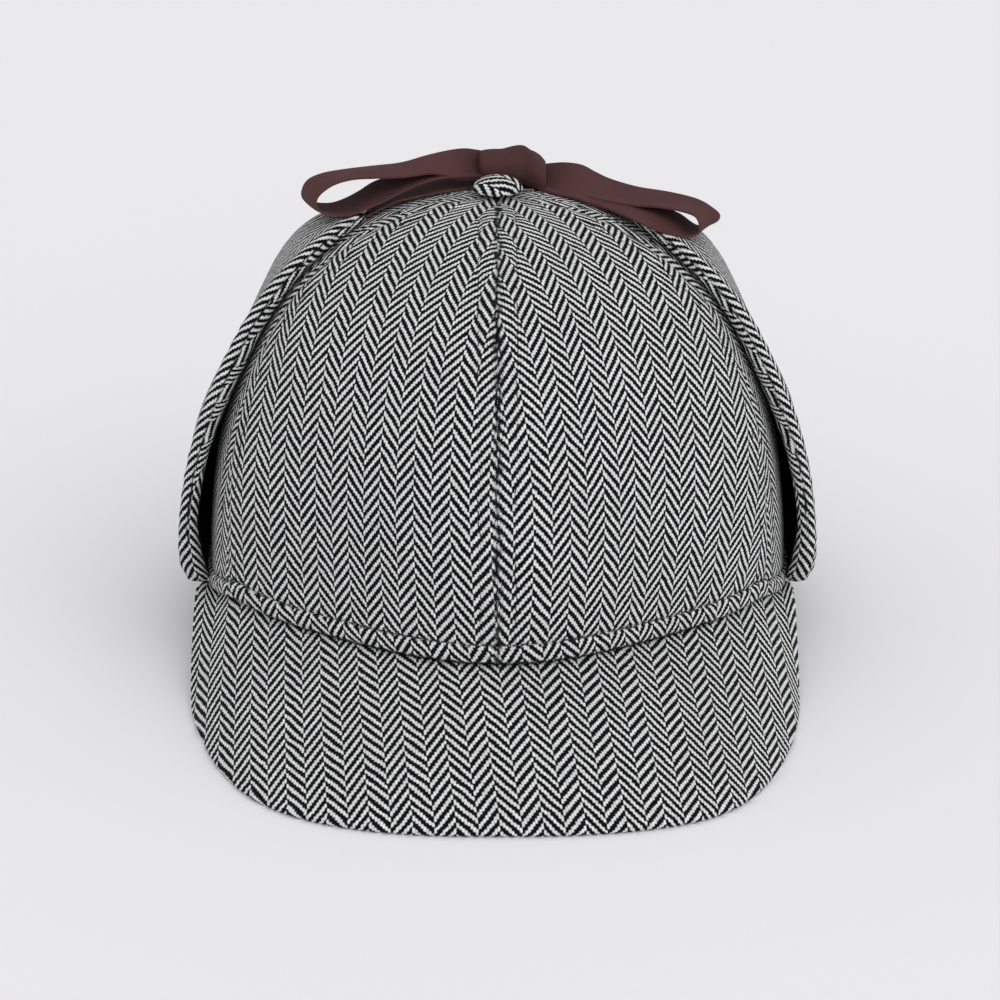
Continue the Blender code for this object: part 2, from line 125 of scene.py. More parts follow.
# peaks
PEAK_HEM_ANGLE = math.radians(75)
PEAK_RIM_HALF_WIDTH = 90.0 * MM
PEAK_RIM_REACH = 115.5 * MM
PEAK_RIM_CENTRE = 36.0 * MM
PEAK_RIM_FULLNESS = 2.65
PEAK_THICKNESS = 3.2 * MM
PEAK_CROWN_RISE = 1.5 * MM
PEAK_SEAM_TUCK = 1.6 * MM
PEAK_HEM_GAP = 0.7 * MM
PEAK_LIFT_FROM = 0.84
PEAK_LIFT = 0.90
PEAK_WIDER_LEFT = 0.018  # how much further the peak's rear corner reaches to -X, as a share of its width
PEAK_CORNER_TURN = 0.75
PEAK_CORNER_SPREAD = 0.36
PEAK_CORNER_LEFT = 6.0 * MM  # how much fuller the rim's front corners are, at +X and at -X
PEAK_CORNER_RIGHT = 2.8 * MM
PEAK_TOP_POINTS = 72  # from the seam to the rim

# ear flap: (rise, half width in degrees, gap to the crown, rolled edge's thickness, middle's inner and outer
# face over the crown, mm)
FLAP_ROWS = (
    (0.006, 15.5, 0.2, 3.0, 0.6, 3.6),
    (0.020, 18.6, 0.6, 6.2, 2.2, 6.0),
    (0.050, 19.8, 2.8, 7.2, 4.6, 7.8),
    (0.110, 20.0, 5.1, 5.5, 5.7, 8.2),
    (0.180, 20.2, 4.8, 5.5, 5.3, 7.8),
    (0.250, 20.6, 3.9, 5.7, 4.5, 7.0),
    (0.320, 20.9, 2.6, 6.3, 2.6, 4.8),
    (0.400, 21.0, 1.6, 6.4, 1.3, 3.1),
    (0.480, 21.2, 1.2, 6.1, 1.1, 3.7),
    (0.550, 22.1, 1.1, 5.4, 1.5, 4.8),
    (0.620, 22.6, 1.1, 4.5, 1.8, 5.4),
    (0.680, 21.8, 1.1, 3.8, 1.8, 4.9),
    (0.725, 19.6, 0.9, 3.2, 1.3, 4.0),
    (0.755, 15.0, 0.7, 2.6, 0.8, 3.3),
    (0.772, 8.0, 0.5, 2.1, 0.5, 2.6),
)
FLAP_REAR_SHARE = 0.30
FLAP_ROLL_WIDTH = 7.0 * MM
FLAP_LEAST_GAP = 0.5 * MM
FLAP_WELT_RISE = 0.06
FLAP_LEAST_ROLL = 1.4 * MM
FLAP_FRONT = 70  # steps round the flap from its rear edge to its front edge, and up it
FLAP_UP = 150
LINING_THICKNESS = 0.25 * MM

STITCH_HALF_LENGTH = 1.05 * MM
STITCH_HALF_WIDTH = 0.20 * MM
STITCH_LIFT = 0.04 * MM

BUTTON_RADIUS = 7.4 * MM
BUTTON_HALF_HEIGHT = 2.6 * MM
BUTTON_BELOW = 0.55  # of that height below the button's widest line, and above it
BUTTON_ABOVE = 1.45
BUTTON_SEAT = 0.35 * MM
BUTTON_YARN = (0.606, 0.795)  # the yarn's direction on it

RIBBON_THICKNESS = 0.6 * MM
RIBBON_GAP = 0.45 * MM
RIBBON_MIDDLE = 8  # the point on its middle line, of those across it
# ribbon lying on the crown, seen from above, mm: (across, front to back)
TIE_LEFT_ROWS = ((15.4, 12.6), (20.0, 9.0), (25.0, 5.8), (29.6, 3.0), (34.6, 0.8))
TAIL_LEFT_ROWS = ((9.0, 16.6), (10.4, 26.0), (13.0, 36.0), (16.5, 46.0), (21.0, 56.0), (26.0, 65.0))
TAIL_RIGHT_ROWS = ((-0.4, 16.6), (-7.2, 26.0), (-12.4, 36.0), (-17.0, 46.0), (-20.0, 56.0), (-22.0, 66.0))
# knot, mm: (across, middle front to back, middle height, half depth, half height)
KNOT_ROWS = (
    (-5.6, 14.0, 140.2, 5.2, 3.3),
    (-4.2, 13.9, 140.3, 6.8, 4.2),
    (1.2, 14.0, 140.2, 7.3, 4.8),
    (6.9, 14.0, 140.4, 8.0, 5.5),
    (9.8, 13.7, 139.4, 8.5, 5.3),
    (12.8, 13.1, 138.1, 8.8, 4.8),
    (14.5, 12.6, 137.0, 8.2, 4.0),
)
KNOT_MIDDLE = (4.5 * MM, 13.8 * MM, 139.5 * MM)
KNOT_FULLNESS = 2.6  # exponent of its oval section; 2 is an ellipse
# ribbon held by the knot, mm: (front edge across, to back, up, rear edge across, to back, up)
TIE_RIGHT_ROWS = (
    (-38.9, -7.8, 130.8, -38.0, 7.6, 131.4),
    (-33.0, -5.4, 133.2, -31.7, 9.6, 132.2),
    (-28.3, -3.5, 134.6, -26.9, 11.2, 133.6),
    (-17.4, 1.5, 135.5, -16.8, 17.0, 135.5),
    (-10.3, 5.0, 135.5, -10.2, 20.0, 135.6),
    (-5.2, 7.0, 135.8, -5.3, 22.0, 135.9),
)
LOOP_LEFT_ROWS = (
    (12.9, 3.4, 134.9, 13.2, 19.0, 139.0),
    (16.2, 2.6, 134.9, 16.5, 20.0, 139.1),
    (20.4, 1.4, 134.7, 20.7, 19.0, 139.6),
    (24.6, -0.2, 134.6, 25.5, 17.0, 139.4),
    (28.7, -1.8, 134.5, 29.7, 15.0, 137.7),
    (33.1, -3.8, 134.3, 34.5, 12.4, 136.2),
    (40.1, -7.0, 134.1, 42.2, 9.0, 134.9),
    (47.9, -10.8, 134.7, 51.3, 5.4, 134.4),
    (53.9, -13.4, 134.3, 59.5, 2.2, 133.2),
    (58.2, -14.8, 133.0, 64.3, 0.6, 130.8),
    (59.5, -15.6, 129.8, 66.2, -0.2, 128.8),
    (58.6, -15.8, 127.9, 64.6, -0.4, 126.8),
    (54.8, -15.7, 127.1, 59.6, -0.3, 125.8),
    (50.1, -17.6, 128.6, 54.2, -1.0, 129.6),
    (45.2, -18.4, 130.5, 48.6, -1.4, 132.1),
    (39.8, -15.4, 132.3, 42.7, 1.6, 133.3),
    (32.4, -8.6, 133.5, 33.9, 7.6, 134.0),
    (24.6, -2.4, 134.3, 25.5, 14.0, 135.0),
    (17.5, 1.6, 134.6, 18.3, 19.0, 135.0),
    (13.0, 3.6, 134.7, 13.2, 20.0, 135.2),
)
LOOP_RIGHT_ROWS = (
    (-3.4, 6.5, 137.6, -3.5, 20.5, 142.6),
    (-6.7, 5.6, 138.2, -6.8, 20.8, 143.1),
    (-10.3, 4.4, 138.6, -10.4, 20.2, 143.6),
    (-14.7, 3.0, 140.1, -15.2, 18.6, 143.4),
    (-20.1, 1.0, 141.5, -21.3, 16.6, 142.5),
    (-27.4, -2.0, 141.4, -29.0, 14.0, 141.0),
    (-36.2, -5.2, 142.0, -38.3, 10.8, 140.8),
    (-42.6, -7.6, 142.3, -45.7, 8.6, 140.5),
    (-47.8, -9.6, 141.4, -52.2, 6.8, 139.8),
    (-51.8, -10.6, 139.0, -56.6, 5.6, 138.1),
    (-53.4, -11.2, 136.4, -58.4, 5.1, 134.9),
    (-52.3, -11.3, 133.6, -57.8, 5.0, 132.3),
    (-49.4, -11.2, 132.5, -54.4, 5.0, 131.2),
    (-45.5, -10.8, 132.2, -49.9, 5.4, 131.0),
    (-41.4, -10.0, 132.7, -45.7, 6.4, 132.1),
    (-37.6, -8.8, 134.1, -41.5, 7.4, 134.1),
    (-33.2, -7.0, 135.6, -37.0, 8.8, 136.6),
    (-27.4, -4.4, 137.9, -29.9, 11.6, 138.4),
    (-21.5, -1.4, 139.6, -23.3, 14.6, 139.7),
    (-15.6, 2.0, 140.0, -16.5, 17.0, 140.2),
    (-8.2, 5.0, 139.4, -8.3, 20.0, 140.3),
    (-3.4, 6.6, 139.0, -3.5, 20.6, 140.1),
)

# the photograph's camera, and its even light
CAMERA_DOWN = math.radians(22)
CAMERA_DISTANCE = 1.0
CAMERA_AIM_HEIGHT = 37.33 * MM
CAMERA_LENS = 116.54  # mm, on a sensor this wide
CAMERA_SENSOR = 36.0
CAMERA_SHIFT = 0.0025
FLOOR_SIZE = 6.0
SKY_COLOUR = (0.99, 0.985, 1.0, 1.0)
SKY_STRENGTH = 0.76


# ---------------------------------------------------------------- sizes and colours that a user may change
def length_property(name, description, default):
    """A length in metres for the sidebar."""
    return bpy.props.FloatProperty(
        name=name, description=description, default=default, min=0.0, precision=5, unit="LENGTH"
    )


def colour_property(name, description, default):
    """A colour for the sidebar."""
    return bpy.props.FloatVectorProperty(
        name=name, description=description, default=default, size=3, min=0.0, max=1.0, subtype="COLOR"
    )


class HatSizes(bpy.types.PropertyGroup):
    """Sizes of the cloth, the ribbon and the stitching"""

    end: length_property("Warp end", "Width of one warp end of the wool", 0.656 * MM)
    pick: length_property("Weft pick", "Height of one weft pick of the wool", 0.86 * MM)
    welt: length_property("Hem welt", "Height of the raised band above the hem", 5.0 * MM)
    stitch_line: length_property("Stitch line", "Distance of the topstitching from a seam", 5.0 * MM)
    stitch_pitch: length_property("Stitch pitch", "Distance from one stitch to the next", 3.0 * MM)
    ribbon_width: length_property("Ribbon width", "Width of the grosgrain ribbon", 16.0 * MM)
    rib: length_property("Ribbon rib", "Distance from one rib of the ribbon to the next", 0.72 * MM)


class HatColours(bpy.types.PropertyGroup):
    """Colours of the yarns, the ribbon, the lining and the stage"""

    white: colour_property("White yarn", "Colour of the warp", (0.725, 0.73, 0.715))
    black: colour_property("Black yarn", "Colour of the weft", (0.0036, 0.0042, 0.0062))
    ribbon: colour_property("Ribbon", "Colour of the grosgrain", (0.090, 0.039, 0.039))
    lining: colour_property("Lining", "Colour of the flaps' lining", (0.006, 0.006, 0.009))
    thread: colour_property("Thread", "Colour of the topstitching", (0.020, 0.020, 0.024))
    floor: colour_property("Floor", "Colour of the studio's floor", (0.866, 0.860, 0.876))


# ---------------------------------------------------------------- shader maths
class Number:
    """A socket that gives a number, on which Python's arithmetic adds Math nodes."""

    def __init__(self, finish, socket):
        self.finish = finish
        self.socket = socket

    def math(self, operation, *values):
        """One Math node on these values."""
        return self.finish.node("ShaderNodeMath", {"operation": operation}, dict(enumerate(values)))

    def __add__(self, other):
        return self.math("ADD", self, other)

    def __sub__(self, other):
        return self.math("SUBTRACT", self, other)

    def __mul__(self, other):
        return self.math("MULTIPLY", self, other)

    def __truediv__(self, other):
        return self.math("DIVIDE", self, other)

    def __rsub__(self, other):
        return self.math("SUBTRACT", other, self)

    def __mod__(self, other):
        return self.math("FLOORED_MODULO", self, other)

    def __abs__(self):
        return self.math("ABSOLUTE", self)

    def floor(self):
        """The whole number below."""
        return self.math("FLOOR", self)

    def fraction(self):
        """What is left above the whole number below."""
        return self.math("FRACT", self)

    def wave(self, length=1.0):
        """A sine that repeats at this length."""
        return self.math("SINE", self * (math.tau / length))

    def ramp(self, low, high, start=0.0, stop=1.0):
        """start at low, stop at high, and an S curve between them."""
        settings = {"interpolation_type": "SMOOTHSTEP"}
        sockets = {0: self, 1: low, 2: high, 3: start, 4: stop}
        return self.finish.node("ShaderNodeMapRange", settings, sockets)


class Finish:
    """A material and the nodes that give it its colour, roughness and relief."""

    def __init__(self, name, **constants):
        self.material = bpy.data.materials.new(name)
        self.material.use_nodes = True
        self.tree = self.material.node_tree
        self.shader = self.tree.nodes["Principled BSDF"]
        for socket, value in constants.items():
            self.shader.inputs[socket.replace("_", " ")].default_value = value

    def node(self, kind, settings=None, sockets=None, output=0):
        """A node: its settings first, then the values or links of its sockets; gives one of its outputs."""
        made = self.tree.nodes.new(kind)
        for setting, value in (settings or {}).items():
            setattr(made, setting, value)
        for socket, value in (sockets or {}).items():
            self.feed(made.inputs[socket], value)
        return Number(self, made.outputs[output])

    def feed(self, socket, value):
        """Links a socket, or sets its value."""
        if isinstance(value, Number):
            self.tree.links.new(value.socket, socket)
        else:
            socket.default_value = value

    def cloth_place(self):
        """The piece's own cloth map: across and along the yarn, in metres."""
        place = self.node("ShaderNodeUVMap", {"uv_map": CLOTH_MAP})
        parts = self.node("ShaderNodeSeparateXYZ", None, {0: place})
        return place, parts, Number(self, parts.socket.node.outputs[1])

    def joined(self, x, y, z=0.0):
        """A vector of three numbers."""
        return self.node("ShaderNodeCombineXYZ", None, {0: x, 1: y, 2: z})

    def noise(self, place, scale, detail=2.0, roughness=0.5):
        """Soft noise between 0 and 1."""
        sockets = {"Vector": place, "Scale": scale, "Detail": detail, "Roughness": roughness}
        return self.node("ShaderNodeTexNoise", None, sockets)

    def mixed(self, share, first, second):
        """The colour between two colours."""
        return self.node("ShaderNodeMix", {"data_type": "RGBA"}, {0: share, 6: first, 7: second}, 2)

    def shade(self):
        """The painted shade here, 0 to 1, from the piece's shade attribute."""
        return self.node("ShaderNodeAttribute", {"attribute_name": "shade"}, None, 2)

    def relief(self, height, distance, strength):
        """Bumps the surface by a height between 0 and 1."""
        sockets = {"Strength": strength, "Distance": distance, "Height": height}
        self.feed(self.shader.inputs["Normal"], self.node("ShaderNodeBump", None, sockets))

    def paint(self, colour, roughness):
        """Feeds the shader's colour and roughness."""
        self.feed(self.shader.inputs["Base Color"], colour)
        self.feed(self.shader.inputs["Roughness"], roughness)


def opaque(colour):
    """A colour with its alpha."""
    return (*colour, 1.0)


def tinted(colour, share):
    """A colour made darker or lighter by a share."""
    return opaque([min(part * share, 1.0) for part in colour])


def make_wool(sizes, colours):
    """Clean-cut herringbone: white warp over black weft, columns of eight ends that slope by turns."""
    wool = Finish("herringbone_wool", Sheen_Weight=0.015, Sheen_Roughness=0.6, Specular_IOR_Level=0.06)
    place, across, along = wool.cloth_place()
    rough = wool.noise(place, 2600.0, 2.0, 0.6) - 0.5
    drift = wool.noise(place, 210.0, 1.0, 0.5) - 0.5
    stray = wool.noise(wool.joined(along * 1.7, across * 2.3, 3.1), 2300.0, 2.0, 0.6) - 0.5
    # the shade attribute jumbles the weave near the seams and, below, darkens the white as painted shade
    shade = wool.shade()
    ends = across / sizes.end + rough * (shade * 3.0 + 0.85) + drift * 0.6
    picks = along / sizes.pick + stray * (shade * 5.0 + 1.20) + drift * 0.9
    end = ends.floor()
    column = (end / 8.0).floor()
    leaning = column % 2.0
    step = end * 0.65 + (ends - 0.5) * 0.35 - column * 8.0
    lift = picks - step * (1.0 - leaning * 2.0) + leaning * 3.0
    phase = lift % 4.0
    turn = (lift / 4.0).floor()
    bead = wool.node("ShaderNodeTexWhiteNoise", {"noise_dimensions": "3D"}, {0: wool.joined(end, turn, 1.0)})
    slub = wool.noise(wool.joined(end * 3.7, along * 170.0), 1.0) - 0.5
    side = abs(ends.fraction() * 2.0 - 1.0)
    reach = abs(phase - 1.0) + side * side * 0.06 + (bead - 0.5) * 0.30 - slub * 0.7
    fibre = wool.noise(wool.joined(across * 5.0, along), 4200.0, 2.0, 0.7)
    white = (reach + (fibre - 0.5) * 0.5).ramp(1.09, 0.70)
    # painted shade on each white end: darker towards its sides and where it dips under the weft
    edge = side.ramp(0.5, 1.0) * 0.17
    painted_dip_shade = abs(phase - 1.0).ramp(0.35, 1.05) * 0.10
    yarn = (bead * 0.22 + 0.89) * (1.0 - edge) * (1.0 - painted_dip_shade) * (fibre * 0.40 + 0.80)
    cloudy = wool.noise(place, 38.0) * 0.16 + wool.noise(place, 420.0) * 0.26 + 0.79
    # painted shade from the shade attribute, blotchy by bead and fibre
    left_after_painted_shade = 1.0 - (shade * (bead * 2.0) + (fibre - 0.5) * shade).ramp(0.3, 0.95)
    # painted highlight on the black weft, brightest along the middle of each end and broken up by fibre
    # noise
    dark = (fibre - 0.42).ramp(0.0, 0.5) * side.ramp(0.9, 0.2)
    light = wool.node(
        "ShaderNodeVectorMath",
        {"operation": "SCALE"},
        {0: tuple(colours.white), 3: yarn * cloudy},
    )
    # the black and a lighter copy of it, mixed by that painted highlight
    weft = wool.mixed(dark, opaque(colours.black), tinted(colours.black, 2.2))
    wool.paint(wool.mixed(white * left_after_painted_shade, weft, light), 0.93 - white * 0.06)
    wool.relief(white * (1.0 - side * side * 0.6) + fibre * 0.2, 0.16 * MM, 0.8)
    return wool.material


def make_grosgrain(sizes, colours):
    """Ribbed ribbon with a smooth selvedge along each edge."""
    ribbon = Finish("brown_grosgrain", Specular_IOR_Level=0.05)
    place, across, along = ribbon.cloth_place()
    waver = (ribbon.noise(place, 260.0, 1.0, 0.5) - 0.5) * 0.35
    rib = (along / sizes.rib + waver).wave() * 0.5 + 0.5
    warp = across.wave(0.34 * MM) * 0.5 + 0.5
    half_width = sizes.ribbon_width / 2
    selvedge = abs(across - half_width).ramp(half_width - 0.9 * MM, half_width - 0.4 * MM)
    body = rib * (1.0 - selvedge * 0.8) + selvedge * 0.5
    cloudy = ribbon.noise(place, 60.0)
    thread = ribbon.noise(ribbon.joined(across * 8.0, along, 0.5), 2600.0, 2.0, 0.6)
    # lighter on the ribs' crests as a painted highlight, with random tone from the cloudy and thread noise
    painted_highlight_and_tone = body * 0.12 + cloudy * 0.50 + thread * 0.35
    colour = ribbon.mixed(painted_highlight_and_tone.ramp(0.15, 0.95), tinted(colours.ribbon, 0.76), tinted(colours.ribbon, 1.32))
    # the shade attribute mixes in a darker copy of the ribbon: painted shade on the knot and near it
    ribbon.paint(ribbon.mixed(ribbon.shade(), colour, tinted(colours.ribbon, 0.25)), 0.80 - body * 0.10)
    ribbon.relief(body + warp * 0.12, 0.03 * MM, 0.7)
    return ribbon.material


def make_lining_cloth(colours):
    """Thin black plain-weave lining."""
    lining = Finish("black_lining", Specular_IOR_Level=0.25)
    place, across, along = lining.cloth_place()
    weave = across.wave(0.42 * MM) * along.wave(0.42 * MM) * 0.5 + 0.5
    # lighter on the weave's raised threads as a painted highlight, with random tone
    painted_highlight_and_tone = weave * 0.5 + lining.noise(place, 120.0) * 0.5
    lining.paint(lining.mixed(painted_highlight_and_tone, opaque(colours.lining), tinted(colours.lining, 2.2)), 0.72 - weave * 0.15)
    lining.relief(weave, 0.05 * MM, 0.6)
    return lining.material


def make_thread(colours):
    """Dark sewing thread."""
    thread = Finish("sewing_thread", Specular_IOR_Level=0.3)
    place = thread.node("ShaderNodeTexCoord", output=3)
    fibre = thread.noise(place, 3200.0, 2.0, 0.6)
    colour = thread.mixed(fibre, tinted(colours.thread, 0.7), tinted(colours.thread, 1.9))
    thread.paint(colour, fibre * 0.2 + 0.6)
    thread.relief(fibre, 0.05 * MM, 0.5)
    return thread.material


def make_floor_finish(colours):
    """Matt pale studio floor."""
    floor = Finish("studio_floor", Specular_IOR_Level=0.1)
    place = floor.node("ShaderNodeTexCoord", output=3)
    cloudy = floor.noise(place, 2.5)
    floor.paint(floor.mixed(cloudy, tinted(colours.floor, 0.985), tinted(colours.floor, 1.015)), 0.9)
    return floor.material


FINISHES = {}


def finish_for(kind):
    """The shared material of one kind, made the first time it is asked for."""
    scene = bpy.context.scene
    if kind not in FINISHES:
        FINISHES[kind] = {
            "wool": lambda: make_wool(scene.hat_sizes, scene.hat_colours),
            "ribbon": lambda: make_grosgrain(scene.hat_sizes, scene.hat_colours),
            "lining": lambda: make_lining_cloth(scene.hat_colours),
            "thread": lambda: make_thread(scene.hat_colours),
            "floor": lambda: make_floor_finish(scene.hat_colours),
        }[kind]()
    return FINISHES[kind]


# ---------------------------------------------------------------- small helpers
def smooth_row(rows, place):
    """The columns of a table at places along it, 0 at its first row and 1 at its last, as smooth curves."""
    rows = np.asarray(rows, float)
    span = len(rows) - 1
    position = np.clip(np.asarray(place, float), 0.0, 1.0) * span
    i = np.minimum(position.astype(int), span - 1)
    f = (position - i)[..., None]
    before, start, end, after = (rows[np.clip(i + k, 0, span)] for k in (-1, 0, 1, 2))
    slope_in, slope_out = (end - before) / 2, (after - start) / 2
    square = 3 * (end - start) - 2 * slope_in - slope_out
    cube = 2 * (start - end) + slope_in + slope_out
    return np.moveaxis(start + f * (slope_in + f * (square + f * cube)), -1, 0)


def smooth_between(low, high, value):
    """0 below low, 1 above high, and an S curve between them."""
    share = np.clip((value - low) / (high - low), 0.0, 1.0)
    return share * share * (3 - 2 * share)


def ridge(value, middle, spread):
    """1 at the middle, falling off softly on both sides."""
    return np.exp(-(((value - middle) / spread) ** 2))


def run_length(places, axis):
    """How far each point of a grid lies along its row or column, in metres."""
    steps = np.linalg.norm(np.diff(places, axis=axis), axis=-1)
    return np.insert(np.cumsum(steps, axis=axis), 0, 0.0, axis=axis)


def unit(vectors):
    """Vectors of length one."""
    return vectors / np.maximum(np.linalg.norm(vectors, axis=-1, keepdims=True), 1e-12)


def laid_grid(places, cloth, closed=False, patch=None, shade=None):
    """A bmesh grid whose corners stand at places[row, column], with its cloth map; closed joins the sides.

    patch is (rows, columns, cloth map): the faces below those two counts lie on that cloth map instead.
    shade is painted shade at each corner, 0 to 1, kept as the corners' shade attribute.
    """
    rows, columns = places.shape[0] - 1, places.shape[1] - 1
    builder = bmesh.new()
    bmesh.ops.create_grid(builder, x_segments=columns, y_segments=rows, size=0.5)
    spots = [(round((c.co.y + 0.5) * rows), round((c.co.x + 0.5) * columns)) for c in builder.verts]
    points, flat = places.tolist(), cloth.tolist()
    for corner, (row, column) in zip(builder.verts, spots):
        corner.co = points[row][column]
    if shade is not None:
        depth, dark = builder.verts.layers.float.new("shade"), shade.tolist()
        for corner, (row, column) in zip(builder.verts, spots):
            corner[depth] = dark[row][column]
    patch_rows, patch_columns, patch_cloth = patch or (0, 0, cloth)
    patch_flat = patch_cloth.tolist()
    layer = builder.loops.layers.uv.new(CLOTH_MAP)
    for face in builder.faces:
        places_of = [spots[loop.vert.index] for loop in face.loops]
        low_row, low_column = min(row for row, _ in places_of), min(column for _, column in places_of)
        lies_on = patch_flat if low_row < patch_rows and low_column < patch_columns else flat
        for loop, (row, column) in zip(face.loops, places_of):
            loop[layer].uv = lies_on[row][column]
    if closed:
        bmesh.ops.remove_doubles(builder, verts=builder.verts[:], dist=1e-7)
        open_edges = [edge for edge in builder.edges if edge.is_boundary]
        bmesh.ops.holes_fill(builder, edges=open_edges, sides=0)
        bmesh.ops.recalc_face_normals(builder, faces=builder.faces[:])
    for edge in builder.edges:
        edge.smooth = not edge.is_boundary  # a sheet's cut edge is not shaded as a round one
    return builder


def new_piece(name, builder, kind, stands_for=()):
    """An object from a bmesh, smooth, with its finish, riding on the hat and standing for its CAD nodes."""
    mesh = bpy.data.meshes.new(name)
    builder.normal_update()
    builder.to_mesh(mesh)
    builder.free()
    mesh.shade_smooth()
    piece = bpy.data.objects.new(name, mesh)
    mesh.materials.append(finish_for(kind))
    bpy.context.scene.collection.objects.link(piece)
    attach(piece, "root")
    if stands_for:
        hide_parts(*stands_for)
    return piece


def add_wall(piece, thickness, side):
    """Solidify: side -1 puts the wall behind the surface, 1 in front of it, 0 half each way."""
    wall = piece.modifiers.new("Wall", "SOLIDIFY")
    wall.thickness = thickness
    wall.offset = side
    wall.use_even_offset = True
    wall.use_quality_normals = True


# ---------------------------------------------------------------- the crown's surface
def hem_drop(azimuth):
    """How far the hem hangs below its height at the front seam."""
    return HEM_SAG * smooth_between(math.sin(HEM_SAG_FROM), 1.0, np.abs(np.sin(azimuth)))


def plan_share(azimuth, rise):
    """The crown's radius as a share of its outline: flatter between seams, pressed in under the flaps."""
    flattening = PANEL_FLATNESS * (1 - np.cos(PANEL_COUNT * azimuth)) / 2
    press = np.where(np.sin(azimuth) > 0, SIDE_PRESS_LEFT, SIDE_PRESS_RIGHT)
    near_side = np.abs(np.sin(azimuth)) ** SIDE_PRESS_FOCUS
    return 1 - flattening - press * near_side * ridge(rise, SIDE_PRESS_RISE, SIDE_PRESS_SPREAD)


def crown_surface(azimuth, rise):
    """Points of the crown's cloth."""
    height, front, side = smooth_row(CROWN_ROWS, rise)
    share = plan_share(azimuth, rise)
    across = CROWN_HALF_WIDTH * side * share * np.sin(azimuth)
    back = -CROWN_HALF_LENGTH * front * share * np.cos(azimuth)
    up = HEM_HEIGHT + CROWN_HEIGHT * height - hem_drop(azimuth) * (1 - height) ** 2
    return np.stack((across, back, up), -1)


def crown_point(azimuth, rise, outset):
    """Points at a distance outside the crown's cloth."""
    step = 0.002
    across = crown_surface(azimuth + step, rise) - crown_surface(azimuth - step, rise)
    low, high = np.maximum(rise - step, 0.0), np.minimum(rise + step, 1.0)
    up = crown_surface(azimuth, high) - crown_surface(azimuth, low)
    outward = unit(np.cross(across, up))
    return crown_surface(azimuth, rise) + np.asarray(outset)[..., None] * outward


def crown_over(x, y, outset):
    """The crown's points above places in plan, moved out by outset; their rise is found by halving."""
    low, high = np.full(x.shape, 0.2), np.ones(x.shape)
    for _ in range(24):
        rise = (low + high) / 2
        _, front, side = smooth_row(CROWN_ROWS, rise)
        across = x / np.maximum(CROWN_HALF_WIDTH * side, 1e-9)
        ahead = -y / np.maximum(CROWN_HALF_LENGTH * front, 1e-9)
        azimuth = np.arctan2(across, ahead)
        outside = np.hypot(across, ahead) < plan_share(azimuth, rise)
        low, high = np.where(outside, rise, low), np.where(outside, high, rise)
    return crown_point(azimuth, rise, np.full(x.shape, outset))


